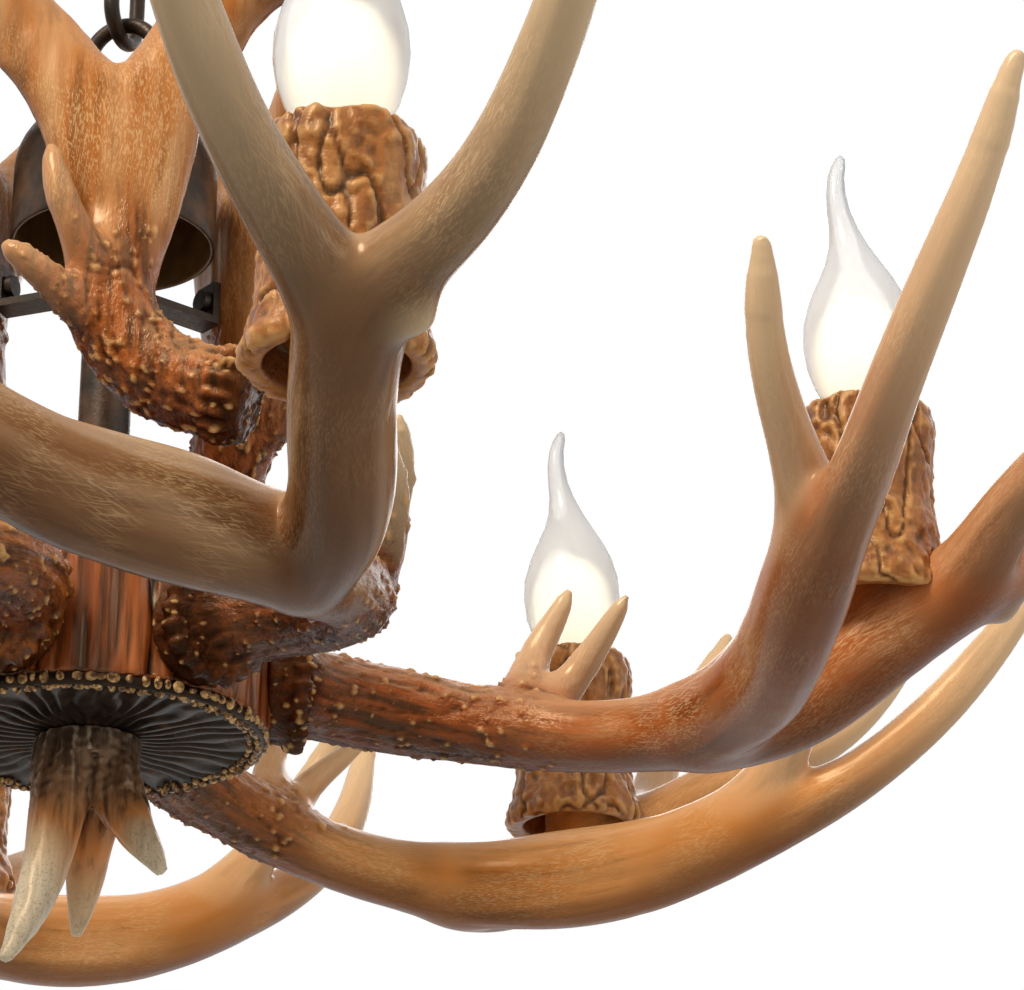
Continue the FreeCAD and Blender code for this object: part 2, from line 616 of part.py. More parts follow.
# ---- lamp cups, holders and lamps
def candle_cup(index, clearance):
    foot, waist, top = CUP_FOOT_RADIUS, CUP_WAIST_RADIUS, CUP_TOP_RADIUS
    height = CUP_HEIGHT
    floor = CUP_FLOOR
    deck = CUP_FLOOR + CUP_FLOOR_THICKNESS
    outline = [
        (foot - 1, 0), (foot, 3), (foot - 2, 9), (waist + 1, 17), (waist, 30), (waist + 0.5, 46),
        (top, 55), (top - 1, height),
    ]
    inside = [
        (CUP_BORE_RADIUS, height), (CUP_BORE_RADIUS, deck), (CUP_SCREW_DIAMETER / 2 + THREAD_CLEARANCE, deck),
        (CUP_SCREW_DIAMETER / 2 + THREAD_CLEARANCE, floor), (waist - CUP_WALL, floor), (foot - 2 * CUP_WALL, 0),
    ]
    cup = revolved(outline + inside, cup_foot(index))
    return cup.cut(placed_on_arm(clearance, index))


def lampholder(index):
    base = cup_foot(index) + Vector(0, 0, CUP_FLOOR + CUP_FLOOR_THICKNESS)
    body = cylinder(HOLDER_RADIUS, HOLDER_HEIGHT, base)
    bore = cylinder(CAP_RADIUS + CAP_CLEARANCE, HOLDER_HEIGHT, base + Vector(0, 0, cap_floor()))
    well_radius = CUP_SCREW_HEAD / 2 + CUP_SCREW_HEAD_SPACE
    screw_well = cylinder(well_radius, HOLDER_HEIGHT, base + Vector(0, 0, HOLDER_BASE))
    screw_hole = cylinder(CUP_SCREW_DIAMETER / 2 + THREAD_CLEARANCE, HOLDER_HEIGHT, base)
    return body.cut([bore, screw_well, screw_hole])


def cap_floor():
    """Floor of the lamp's bore above the holder's foot."""
    return HOLDER_HEIGHT - CAP_HEIGHT


def cup_screws():
    screws = []
    for index in range(ARM_COUNT):
        head_base = cup_foot(index) + Vector(0, 0, CUP_FLOOR + CUP_FLOOR_THICKNESS + HOLDER_BASE)
        head = cylinder(CUP_SCREW_HEAD / 2, CUP_SCREW_HEAD_HEIGHT, head_base)
        shank = cylinder(CUP_SCREW_DIAMETER / 2, CUP_SCREW_LENGTH, head_base - Vector(0, 0, CUP_SCREW_LENGTH))
        screws.append(head.fuse(shank))
    return Part.makeCompound(screws)


def lamp_base(index):
    """Where a lamp's cap stands."""
    return cup_foot(index) + Vector(0, 0, CUP_FLOOR + CUP_FLOOR_THICKNESS + cap_floor() + CAP_LIFT)


def lamp_cap(index):
    base = lamp_base(index)
    contact = cylinder(CAP_CONTACT_RADIUS, CAP_CONTACT_HEIGHT, base)
    shell_base = base + Vector(0, 0, CAP_CONTACT_HEIGHT)
    shell = cylinder(CAP_RADIUS, CAP_HEIGHT - CAP_CONTACT_HEIGHT, shell_base)
    return contact.fuse(shell)


def glass_envelope(shrink):
    """The candle lamp's outline, drawn in by shrink; the drawn-in one stops short of the solid tip."""
    line = Part.BSplineCurve()
    line.interpolate([Vector(side, radius, height) for side, height, radius in GLASS_STATIONS])
    start, end = line.FirstParameter, line.LastParameter
    stations = [line.value(start + (end - start) * step / GLASS_STEPS) for step in range(GLASS_STEPS + 1)]
    points = [Vector(station.x, 0, station.z) for station in stations]
    rings = []
    for step in range(GLASS_INNER_STEPS if shrink else GLASS_STEPS + 1):
        direction = station_direction(points, step) if step else UP
        radius = max(stations[step].y - shrink, GLASS_WALL / 2)
        centre = points[step] if step else UP * shrink
        rings.append(oval(centre, direction, radius, radius, ACROSS))
    return Part.makeLoft(rings, True, True)


def lamp_glass(index, envelope):
    glass = turned(envelope, GLASS_BEND_TURN)
    glass.translate(lamp_base(index) + Vector(0, 0, CAP_HEIGHT))
    return glass


# ---- upper antlers
def upper_azimuth(index):
    return UPPER_AZIMUTH + index * 360.0 / UPPER_COUNT


def upper_bracket():
    ring_base = Vector(0, 0, at_arms(BRACKET_LEVEL))
    plate_top = BRACKET_ARM_THICKNESS
    tab_height = 2 * ANTLER_BOSS_RADIUS + plate_top
    pieces = [cylinder(BRACKET_RING_RADIUS, BRACKET_RING_HEIGHT, ring_base)]
    for index in range(UPPER_COUNT):
        plate = Part.makeBox(
            BRACKET_REACH, BRACKET_ARM_WIDTH, plate_top, ring_base - Vector(0, BRACKET_ARM_WIDTH / 2, 0))
        tab_corner = ring_base + Vector(BRACKET_REACH - plate_top, -BRACKET_ARM_WIDTH / 2, 0)
        tab = Part.makeBox(plate_top, BRACKET_ARM_WIDTH, tab_height, tab_corner)
        hole = cylinder(
            ANTLER_SCREW_DIAMETER / 2 + THREAD_CLEARANCE, BRACKET_ARM_THICKNESS,
            ring_base + Vector(BRACKET_REACH - plate_top, 0, screw_rise()), OUTWARD)
        pieces.append(turned(plate.fuse(tab).cut(hole), upper_azimuth(index)))
    body = fused(pieces)
    return body.cut(cylinder(STEM_RADIUS + THREAD_CLEARANCE, BRACKET_RING_HEIGHT, ring_base))


def screw_rise():
    """Height of an antler's screw above the bracket's underside."""
    return BRACKET_ARM_THICKNESS + ANTLER_BOSS_RADIUS


def upper_screws():
    screws = []
    for index in range(UPPER_COUNT):
        seat = Vector(BRACKET_REACH - BRACKET_ARM_THICKNESS, 0, at_arms(BRACKET_LEVEL) + screw_rise())
        head = cylinder(
            ANTLER_SCREW_HEAD / 2, ANTLER_SCREW_HEAD_HEIGHT,
            seat - OUTWARD * ANTLER_SCREW_HEAD_HEIGHT, OUTWARD)
        shank = cylinder(ANTLER_SCREW_DIAMETER / 2, ANTLER_SCREW_LENGTH, seat, OUTWARD)
        screws.append(turned(head.fuse(shank), upper_azimuth(index)))
    return Part.makeCompound(screws)


def upper_antler(index, casting):
    antler = turned(casting, index * 360.0 / UPPER_COUNT)
    antler.translate(Vector(0, 0, ARM_LEVEL))
    seat = Vector(BRACKET_REACH, 0, at_arms(BRACKET_LEVEL) + screw_rise())
    boss = cylinder(ANTLER_BOSS_RADIUS, ANTLER_BOSS_DEPTH, seat, OUTWARD)
    hole_depth = ANTLER_SCREW_LENGTH - BRACKET_ARM_THICKNESS + STUD_END_SPACE
    hole = cylinder(ANTLER_SCREW_DIAMETER / 2 + THREAD_CLEARANCE, hole_depth, seat, OUTWARD)
    return antler.fuse(turned(boss, upper_azimuth(index))).cut(turned(hole, upper_azimuth(index)))


def upper_casting():
    return fused([antler_branch(stations, ACROSS) for stations in UPPER_PATHS.values()])


# ---- finial
def finial():
    top = at_arms(BASE_DISC_BOTTOM)
    crown = cylinder(FINIAL_CROWN_RADIUS, FINIAL_CROWN_HEIGHT, Vector(0, 0, top - FINIAL_CROWN_HEIGHT))
    tines = []
    for stations in FINIAL_TINES:
        tine = antler_branch([(x, y, z - FINIAL_INSET, r, r) for x, y, z, r in stations], ACROSS)
        tine.translate(Vector(0, 0, top))
        tines.append(tine)
    depth = FINIAL_STUD_LENGTH / 2
    hole = cylinder(STUD_DIAMETER / 2 + THREAD_CLEARANCE, depth, Vector(0, 0, top - depth))
    return crown.fuse(tines).cut(hole)


def finial_stud():
    top = at_arms(BASE_DISC_BOTTOM)
    stud_base = Vector(0, 0, top - FINIAL_STUD_LENGTH / 2 + STUD_END_SPACE)
    stud = cylinder(STUD_DIAMETER / 2, FINIAL_STUD_LENGTH - STUD_END_SPACE, stud_base)
    nut_base = Vector(0, 0, at_arms(HUB_BOTTOM))
    nut = hexagon_prism(STUD_NUT_FLATS, NUT_HEIGHT, nut_base)
    return stud.fuse(nut)


def main():
    os.makedirs("parts", exist_ok=True)
    save("canopy", canopy())
    save("canopy_bracket", canopy_bracket())
    save("canopy_nipple", canopy_nipple())
    save("canopy_nuts", canopy_nuts())
    save("terminal_block", terminal_block())
    save("canopy_loop", canopy_loop())
    for index in range(CHAIN_LINKS):
        save("chain_link_%d" % (index + 1), chain_link(index))
    save("fixture_loop", fixture_loop())
    save("bell_cap", bell_cap())
    save("bell_nut", bell_nut())
    save("stem_nipple", stem_nipple())
    save("stem_pipe", stem_pipe())
    save("stem_nuts", stem_nuts())
    save("hub_trunk", hub_trunk())
    save("hub_base_disc", hub_base_disc())
    save("hub_rim", hub_rim())
    save("arm_studs", arm_studs())
    save("arm_nuts", arm_nuts())
    casting = arm_casting()
    clearance = saddle_clearance()
    envelope = glass_envelope(0).cut(glass_envelope(GLASS_WALL))
    for index in range(ARM_COUNT):
        number = index + 1
        save("arm_antler_%d" % number, arm_antler(index, casting))
        save("candle_cup_%d" % number, candle_cup(index, clearance))
        save("lampholder_%d" % number, lampholder(index))
        save("lamp_cap_%d" % number, lamp_cap(index))
        save("lamp_glass_%d" % number, lamp_glass(index, envelope))
    save("cup_screws", cup_screws())
    save("upper_bracket", upper_bracket())
    save("upper_screws", upper_screws())
    crown = upper_casting()
    for index in range(UPPER_COUNT):
        save("upper_antler_%d" % (index + 1), upper_antler(index, crown))
    save("finial", finial())
    save("finial_stud", finial_stud())


main()
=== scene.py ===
import json
import math

import bmesh
import bpy
import numpy as np
from bpy.props import FloatProperty, FloatVectorProperty, IntProperty, PointerProperty
from mathutils import Matrix, Vector, noise


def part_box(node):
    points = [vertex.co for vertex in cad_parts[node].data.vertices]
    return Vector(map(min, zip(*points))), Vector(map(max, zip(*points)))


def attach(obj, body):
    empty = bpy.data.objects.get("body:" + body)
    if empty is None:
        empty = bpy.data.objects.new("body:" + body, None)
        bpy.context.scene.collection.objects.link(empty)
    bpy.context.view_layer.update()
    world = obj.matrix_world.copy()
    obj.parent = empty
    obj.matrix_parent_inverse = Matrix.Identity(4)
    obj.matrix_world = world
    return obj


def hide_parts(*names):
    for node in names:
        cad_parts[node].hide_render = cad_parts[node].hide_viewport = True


bl_info = {
    "name": "Antler chandelier dressing",
    "version": (1, 0, 0),
    "blender": (4, 5, 0),
    "location": "View3D > Sidebar > Chandelier",
    "description": "Carves, stains and lights the antler chandelier round its packed model",
    "category": "Object",
}

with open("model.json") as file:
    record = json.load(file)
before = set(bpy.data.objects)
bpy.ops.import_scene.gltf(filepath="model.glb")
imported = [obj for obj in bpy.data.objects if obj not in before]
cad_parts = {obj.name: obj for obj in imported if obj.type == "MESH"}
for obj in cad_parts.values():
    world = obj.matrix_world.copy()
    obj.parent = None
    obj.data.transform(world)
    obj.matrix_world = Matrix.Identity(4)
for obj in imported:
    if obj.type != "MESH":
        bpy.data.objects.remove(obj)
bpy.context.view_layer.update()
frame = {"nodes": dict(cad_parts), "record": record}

MM = 0.001
ARMS = 6
UPPER_ANTLERS = 3
HUB_DROP = 0.016                # underside of the trunk below the level of the arms
ARM_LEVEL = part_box("hub_trunk")[0][2] + HUB_DROP
FIRST_AZIMUTH = 5.0
HUB_FLAT = 0.051                # from the axis to the flats that the arms seat on
NECK_LENGTH = 0.008

# How each casting is turned in its seat: swing about Z, lift of its far end, twist, in degrees.
ARM_SEATS = [(1, 2, 0), (-6, 0.5, 2), (-8, -7, -6), (-2, 0, 0), (-4, 0, 1), (-5, -3, 1)]
ARM_STAINS = ("russet", "golden", "golden", "russet", "golden", "smoky")
BASE_ENDS = {"golden": 0.118, "russet": 0.118, "smoky": 0.150}  # length of an arm's dark, pearled base
UPPER_BASE_END = 0.090          # the same on an upper antler

# Stations of one arm casting, from its seat on the hub, and of one upper antler, from the stem's axis:
# x, y, z, half width, half height in millimetres.
ARM_PATHS = {
    "beam": [
        (3, 0, 3, 14, 14), (15, 10, 4, 13.5, 13.5), (39, 16, 2, 13.5, 13.5),
        (67, 8, -5, 12, 12), (99, -14, -15, 10.5, 11), (121, -44, -20, 11, 13),
        (130, -78, -20, 12, 16.5), (129, -112, -18, 11.5, 15.5), (128, -146, -10, 10.5, 12),
        (130, -177, 2, 8.8, 8.8), (133, -200, 18, 7.8, 7.8), (142, -224, 46, 6.6, 6.6),
        (153, -242, 78, 4.4, 4.4), (157, -249, 92, 2.4, 2.4),
    ],
    "crown_fork": [
        (129, -116, -17, 8, 9), (127, -138, -9, 9.5, 10.5), (122, -157, 5, 8.5, 9),
        (115, -168, 18, 7, 7), (107, -180, 34, 6, 6), (103, -191, 50, 4.5, 4.5),
        (101.5, -198, 61, 2.4, 2.4),
    ],
    "lamp_branch": [
        (117, -40, -19, 8, 9), (133, -44, -21, 11.5, 12), (153, -52, -15, 13, 13),
        (177, -68, 2, 13, 13), (203, -76, 17, 11.5, 11), (227, -70, 31, 9, 9),
        (251, -66, 58, 7.6, 7.6), (273, -69, 88, 6, 6), (287, -75, 112, 3.8, 3.8),
        (291, -77, 120, 2.2, 2.2),
    ],
    "side_tine": [
        (183, -71, 5, 8, 8), (197, -88, 19, 10.5, 10), (207, -110, 33, 9, 9),
        (224, -138, 50, 8, 8), (236, -160, 76, 6.4, 6.4), (242, -172, 98, 4, 4),
        (244, -176, 106, 2.4, 2.4),
    ],
    "front_brow": [
        (83, 0, -9, 7, 7), (92, 2, 3, 6.5, 6.5), (101, -2, 15, 4.6, 4.6),
        (108, -11, 26, 3, 3), (111, -15, 31, 1.6, 1.6),
    ],
    "rear_brow": [
        (76, 2, -6, 7, 7), (83, 6, 9, 6.6, 6.6), (89, 8, 23, 4.6, 4.6),
        (95, 4, 34, 3, 3), (97, 2, 39, 1.6, 1.6),
    ],
}
UPPER_PATHS = {
    "beam": [
        (44, -57, 67, 13, 13), (28, -54, 72, 13.5, 13.5), (14, -50, 80, 13.5, 13),
        (3, -49, 95, 13, 12), (2, -48, 112, 13, 10), (3, -48, 129, 16.5, 8),
        (3, -48, 146, 21, 7.5), (1, -48, 166, 23.5, 7), (0, -48, 179, 20, 6),
    ],
    "left_branch": [
        (-2, -48, 146, 12, 6), (-10, -48, 167, 14, 7), (-21, -48, 183, 14, 7.2),
        (-34, -48, 199, 13, 7.2), (-50, -53, 220, 9.5, 7.5), (-63, -61, 246, 7.5, 7),
        (-70, -69, 272, 5, 5), (-72, -73, 288, 2.6, 2.6),
    ],
    "left_tine": [
        (-36, -49, 200, 8, 6), (-56, -50, 216, 7.5, 6.5), (-78, -56, 226, 6, 6),
        (-96, -66, 243, 4, 4), (-102, -72, 253, 2.2, 2.2),
    ],
    "right_branch": [
        (6, -48, 147, 12, 6), (12, -48, 168, 14, 7), (20, -48, 186, 14, 7.2),
        (30, -49, 204, 13.5, 7.2), (42, -54, 226, 10, 7.5), (54, -62, 252, 7.5, 7),
        (60, -70, 279, 5, 5), (61, -74, 293, 2.6, 2.6),
    ],
    "right_tine": [
        (32, -50, 202, 8, 6), (52, -54, 216, 7.5, 6.5), (70, -62, 233, 5.6, 5.6),
        (80, -72, 252, 3.6, 3.6), (83, -76, 262, 2.2, 2.2),
    ],
    "upper_brow": [
        (3, -50, 92, 7.5, 7.5), (-4, -54, 103, 6.6, 6.6), (-9, -60, 116, 6, 6),
        (-15, -63, 130, 4.8, 4.8), (-18, -63, 142, 3, 3), (-19, -63, 146, 1.6, 1.6),
    ],
    "lower_brow": [
        (5, -50, 89, 7, 7), (-3, -54, 93, 6.6, 6.6), (-14, -60, 99, 5.6, 5.6),
        (-23, -63, 106, 4.4, 4.4), (-29, -64, 110, 3, 3), (-31, -64, 112, 1.8, 1.8),
    ],
}
KNOB = (209.0, -70.0, 10.5)     # old shed stub under the lamp branch, from the seat
TIP_FADE = 0.150                # length over which a tine turns pale
BLUNT_AHEAD = 0.25              # added to the distance to the tip on a branch that has none
WEB_REACH = 0.014               # furthest that the swelling between two branches spreads
SMALL_PEARL = 0.0007            # radius of the smallest pearl on an antler's base
LARGE_PEARL = 0.0014            # and of the largest
WELD = 0.00001                  # vertices nearer to each other than this are merged
TRUNK_SKIN = 0.0010             # voxel of the trunk's skin
FINIAL_SKIN = 0.0007            # and of the finial's
TONE_DEPTH = 0.00035            # relief that counts as a full crest or a full hollow

# First seeds of the carved patterns; each arm, antler or cup adds its own index.
ARM_SEED = 11
UPPER_SEED = 31
CUP_SEED = 51
TRUNK_SEED = 71
FINIAL_SEED = 81

# Camera of the photograph, in metres and degrees.
CAMERA_PLACE = (0.01626, -0.94857, -0.77828)
CAMERA_YAW = 6.59               # to the right of +Y
CAMERA_PITCH = 23.12            # above the horizon
CAMERA_ROLL = -0.19
CAMERA_LENS = 118.31            # on a sensor 36 mm wide
SENSOR_WIDTH = 36.0
STAGE_CENTRE = (0.1, 0.0, -0.35)  # where the lights point
FLOOR_HALF_WIDTH = 4.0          # metres


# ---- sizes and colours that a user would change
def length_setting(name, description, default):
    return FloatProperty(name=name, description=description, default=default, unit="LENGTH")


def power_setting(name, description, default):
    return FloatProperty(name=name, description=description, default=default, unit="POWER")


def colour_setting(name, description, default):
    return FloatVectorProperty(name=name, description=description, default=default, subtype="COLOR")


class AntlerSizes(bpy.types.PropertyGroup):
    skin: length_setting("Skin voxel", "Size of the skin's mesh on an antler", 0.00105)
    beads: IntProperty(name="Beads", description="Pearls on one antler's base", default=330, min=0)
    bead_height: length_setting("Bead height", "How far a pearl stands proud", 0.0010)
    gnarl: length_setting("Gnarl", "Depth of the folds in an antler's base", 0.00070)


class CupSizes(bpy.types.PropertyGroup):
    skin: length_setting("Skin voxel", "Size of the skin's mesh on a cup", 0.00095)
    bark: length_setting("Bark relief", "Height of the bark's lumps", 0.0019)


class StainColours(bpy.types.PropertyGroup):
    golden: colour_setting("Golden", "Stain of the paler arms", (0.68, 0.245, 0.048))
    russet: colour_setting("Russet", "Stain of the redder arms", (0.42, 0.100, 0.016))
    smoky: colour_setting("Smoky", "Stain of the greyer arm", (0.25, 0.100, 0.036))
    amber: colour_setting("Amber", "Stain of the upper antlers", (0.45, 0.135, 0.019))
    bark: colour_setting("Bark", "Stain of the candle cups", (0.38, 0.135, 0.032))
    gold: colour_setting("Gold", "Dry-brushed gold on the raised texture", (0.86, 0.48, 0.17))
    bronze: colour_setting("Bronze", "Paint of the metalwork", (0.013, 0.009, 0.007))


class StageSettings(bpy.types.PropertyGroup):
    key_power: power_setting("Key light", "Power of the main lamp", 50.0)
    fill_power: power_setting("Fill light", "Power of each of the two softer lamps", 9.0)
    world_level: FloatProperty(name="World", description="Level of the light from all round", default=0.30)
    floor_drop: length_setting("Floor", "Height of the floor, below the ceiling", -2.2)


# ---- material helpers
def new_finish(name):
    material = bpy.data.materials.new(name)
    material.use_nodes = True
    tree = material.node_tree
    return material, tree, tree.nodes["Principled BSDF"]


def fill_socket(socket, value):
    """Link the value if it is a socket itself, or else store it."""
    if isinstance(value, bpy.types.NodeSocket):
        socket.id_data.links.new(value, socket)
    else:
        socket.default_value = value


def as_colour(value):
    """A colour with its alpha; a socket stays as it is."""
    return value if isinstance(value, bpy.types.NodeSocket) else (*value, 1.0)


def add_node(tree, kind, inputs=None, **settings):
    """A node with its settings, and with its inputs either linked to sockets or set to values."""
    node = tree.nodes.new(kind)
    for key, value in settings.items():
        setattr(node, key, value)
    for key, value in (inputs or {}).items():
        fill_socket(node.inputs[key], value)
    return node


def set_shader(shader, **values):
    """Fill the shader's inputs, whose names have an underscore here for each space."""
    for key, value in values.items():
        socket = shader.inputs[key.replace("_", " ")]
        fill_socket(socket, as_colour(value) if isinstance(value, tuple) else value)


def mixed(tree, factor, first, second, blend="MIX"):
    inputs = {0: factor, 6: as_colour(first), 7: as_colour(second)}
    return add_node(tree, "ShaderNodeMix", inputs, data_type="RGBA", blend_type=blend).outputs[2]


def ramped(tree, factor, stops):
    """A colour ramp through (place, grey or colour) stops."""
    node = add_node(tree, "ShaderNodeValToRGB", {"Fac": factor})
    band = node.color_ramp
    while len(band.elements) < len(stops):
        band.elements.new(0.5)
    for element, (place, colour) in zip(band.elements, stops):
        if isinstance(colour, (int, float)):
            colour = (colour, colour, colour)
        element.position = place
        element.color = (*colour, 1.0)
    return node.outputs["Color"]


def layered(tree, body, factor, stops, colour):
    """The body with a colour over it, as strongly as the ramp of the factor says."""
    return mixed(tree, ramped(tree, factor, stops), body, colour)


def math_node(tree, operation, first, second):
    return add_node(tree, "ShaderNodeMath", {0: first, 1: second}, operation=operation).outputs[0]


def product(tree, first, second):
    return math_node(tree, "MULTIPLY", first, second)


def noise_of(tree, vector, scale, detail, roughness=0.55):
    inputs = {"Vector": vector, "Scale": scale, "Detail": detail, "Roughness": roughness}
    return add_node(tree, "ShaderNodeTexNoise", inputs).outputs["Fac"]


def streaks_of(tree, vector, squeeze, scale, detail, roughness=0.55):
    """Noise drawn out along the vector's Z: a squeeze of 0.1 makes it ten times as long as wide."""
    inputs = {"Vector": vector, "Scale": (1.0, 1.0, squeeze)}
    drawn = add_node(tree, "ShaderNodeMapping", inputs).outputs["Vector"]
    return noise_of(tree, drawn, scale, detail, roughness)


def bump_of(tree, height, strength, distance):
    inputs = {"Height": height, "Strength": strength, "Distance": distance}
    return add_node(tree, "ShaderNodeBump", inputs).outputs["Normal"]


def place_of(tree):
    """Object coordinates, which are the chandelier's own."""
    return add_node(tree, "ShaderNodeTexCoord").outputs["Object"]


def facing_of(tree, blend):
    """0 where the surface faces the viewer, rising to 1 at its rim."""
    return add_node(tree, "ShaderNodeLayerWeight", {"Blend": blend}).outputs["Facing"]


def attribute_of(tree, name, output="Fac"):
    return add_node(tree, "ShaderNodeAttribute", attribute_name=name).outputs[output]


def tone_of(tree):
    """The four channels of a carved piece's tone attribute."""
    tone = add_node(tree, "ShaderNodeAttribute", attribute_name="tone")
    parts = add_node(tree, "ShaderNodeSeparateColor", {"Color": tone.outputs["Color"]})
    return [*parts.outputs, tone.outputs["Alpha"]]


def darker(colour, share):
    return tuple(channel * share for channel in colour)


def towards(colour, other, share):
    return tuple(a + (b - a) * share for a, b in zip(colour, other))


# ---- finishes
CREAM = (0.92, 0.70, 0.42)
PALE = (0.95, 0.66, 0.33)
WARM_SHEEN = (1.0, 0.70, 0.40)  # tint of the varnish's reflections
MIDDLE_GREY = (0.5, 0.5, 0.5)
UNDER_SHADE = (0.32, 0.23, 0.20)  # painted shade, which multiplies the stain on the undersides
BASE_RED = (0.40, 0.080, 0.013)


def painted_top_light_and_under_shade(tree, body, pale):
    """Painted shade on the undersides and painted light on the tops, by the surface's slope in the piece's
    own frame.
    """
    normal = add_node(tree, "ShaderNodeTexCoord").outputs["Normal"]
    rise = add_node(tree, "ShaderNodeSeparateXYZ", {"Vector": normal}).outputs["Z"]
    height = math_node(tree, "ADD", product(tree, rise, 0.5), 0.5)
    # painted shade: darker the more the surface faces down
    below = ramped(tree, height, [(0.08, 0.95), (0.42, 0.0)])
    body = mixed(tree, below, body, UNDER_SHADE, blend="MULTIPLY")
    # painted light: paler the more the surface faces up
    return layered(tree, body, height, [(0.54, 0.0), (0.92, 0.60)], pale)


def hair_scratches(tree, flow, tilt):
    """Mask of fine pale scratches that run nearly along the antler."""
    inputs = {"Vector": flow, "Rotation": (tilt, tilt * 0.7, 0.0), "Scale": (1.0, 1.0, 26.0)}
    turned = add_node(tree, "ShaderNodeMapping", inputs, vector_type="TEXTURE").outputs["Vector"]
    return ramped(tree, noise_of(tree, turned, 2300.0, 1.0, 0.5), [(0.54, 0.0), (0.66, 1.0)])


def antler_finish(name, stain, gold, tip_paleness=0.85):
    """Stained, varnished resin: dark folds and gold pearls at the base, cream tips, pale hair scratches, with
    painted shade in the hollows, at the root and on the undersides, and painted light on the tops.
    """
    material, tree, shader = new_finish(name)
    base, tip, bead, hollow = tone_of(tree)
    flow = attribute_of(tree, "flow", "Vector")
    calm = attribute_of(tree, "calm")
    place = place_of(tree)

    fibres = mixed(tree, calm, streaks_of(tree, flow, 0.09, 300.0, 3.0), MIDDLE_GREY)
    bands = mixed(tree, calm, streaks_of(tree, flow, 0.14, 75.0, 2.0), MIDDLE_GREY)
    patches = noise_of(tree, place, 24.0, 2.0)
    body = ramped(tree, bands, [
        (0.30, darker(stain, 0.55)), (0.50, stain), (0.72, towards(stain, PALE, 0.28))])
    body = layered(tree, body, patches, [(0.42, 0.0), (0.70, 0.5)], towards(stain, PALE, 0.30))
    body = layered(tree, body, fibres, [(0.36, 0.40), (0.48, 0.0)], darker(stain, 0.40))
    hairs = math_node(tree, "MAXIMUM", hair_scratches(tree, flow, 0.16), hair_scratches(tree, flow, -0.22))
    hair_areas = ramped(tree, noise_of(tree, place, 40.0, 1.0), [(0.40, 0.05), (0.62, 0.50)])
    body = mixed(tree, product(tree, hairs, hair_areas), body, towards(stain, PALE, 0.75))

    base_light = towards(darker(stain, 0.75), BASE_RED, 0.5)
    stained_base = ramped(tree, fibres, [(0.36, darker(base_light, 0.25)), (0.58, base_light)])
    # painted shade on the undersides and painted light on the tops
    body = painted_top_light_and_under_shade(tree, mixed(tree, base, body, stained_base), towards(stain, PALE, 0.45))
    pale_tip = mixed(tree, bands, towards(stain, CREAM, 0.7), CREAM)
    body = mixed(tree, product(tree, tip, tip_paleness), body, pale_tip)
    # painted shade in the hollows of the relief, and painted shadow at the antler's root
    body = layered(tree, body, hollow, [(0.15, 0.0), (0.95, 0.90)], darker(base_light, 0.07))
    body = layered(tree, body, bead, [(0.25, 0.0), (0.75, 1.0)], gold)

    open_share = math_node(tree, "SUBTRACT", 1.0, product(tree, hollow, 0.85))
    sheen = product(tree, ramped(tree, facing_of(tree, 0.5), [(0.40, 0.42), (0.80, 0.06)]), open_share)
    grit = product(tree, streaks_of(tree, flow, 0.5, 850.0, 3.0, 0.6), product(tree, base, 1.8))
    height = math_node(tree, "ADD", product(tree, fibres, 0.5), grit)
    set_shader(
        shader, Base_Color=body, Roughness=ramped(tree, fibres, [(0.3, 0.20), (0.7, 0.32)]),
        Specular_IOR_Level=sheen, Specular_Tint=WARM_SHEEN, Normal=bump_of(tree, height, 0.5, 0.0008))
    return material


def bark_finish(stain, gold):
    """Bark-like resin: hollows darkened with painted shade, brown flanks and dry-brushed gold on the crests.
    """
    material, tree, shader = new_finish("cup_bark")
    crest, hollow = tone_of(tree)[:2]
    place = place_of(tree)
    grain = noise_of(tree, place, 380.0, 4.0)
    patches = noise_of(tree, place, 70.0, 2.0)
    drips = streaks_of(tree, place, 0.22, 190.0, 3.0)
    body = ramped(tree, patches, [
        (0.32, darker(stain, 0.70)), (0.52, stain), (0.72, towards(stain, gold, 0.35))])
    body = layered(tree, body, drips, [(0.34, 0.75), (0.50, 0.0)], (0.17, 0.036, 0.009))
    body = layered(tree, body, grain, [(0.35, 0.4), (0.50, 0.0)], darker(stain, 0.30))
    # painted shade in the hollows of the bark
    body = layered(tree, body, hollow, [(0.15, 0.0), (0.9, 0.9)], darker(stain, 0.08))
    body = layered(tree, body, crest, [(0.40, 0.0), (0.95, 0.5)], gold)
    set_shader(
        shader, Base_Color=body, Roughness=0.36, Specular_Tint=WARM_SHEEN,
        Normal=bump_of(tree, grain, 0.6, 0.0008))
    return material


def trunk_finish():
    """Dark varnished wood grain that runs up and down the trunk."""
    material, tree, shader = new_finish("trunk_grain")
    hollow = tone_of(tree)[1]
    place = place_of(tree)
    fibre = streaks_of(tree, place, 0.08, 420.0, 5.0)
    plank = streaks_of(tree, place, 0.10, 95.0, 2.0)
    body = ramped(tree, plank, [
        (0.32, (0.045, 0.010, 0.004)), (0.52, (0.27, 0.062, 0.014)), (0.74, (0.56, 0.160, 0.034))])
    body = layered(tree, body, fibre, [(0.36, 0.8), (0.54, 0.0)], (0.03, 0.008, 0.004))
    # painted shade in the hollows of the grain
    body = layered(tree, body, hollow, [(0.1, 0.0), (0.8, 0.95)], (0.012, 0.004, 0.003))
    set_shader(
        shader, Base_Color=body, Roughness=0.30, Specular_Tint=WARM_SHEEN, Coat_Weight=0.1,
        Coat_Roughness=0.12, Normal=bump_of(tree, fibre, 0.4, 0.0006))
    return material


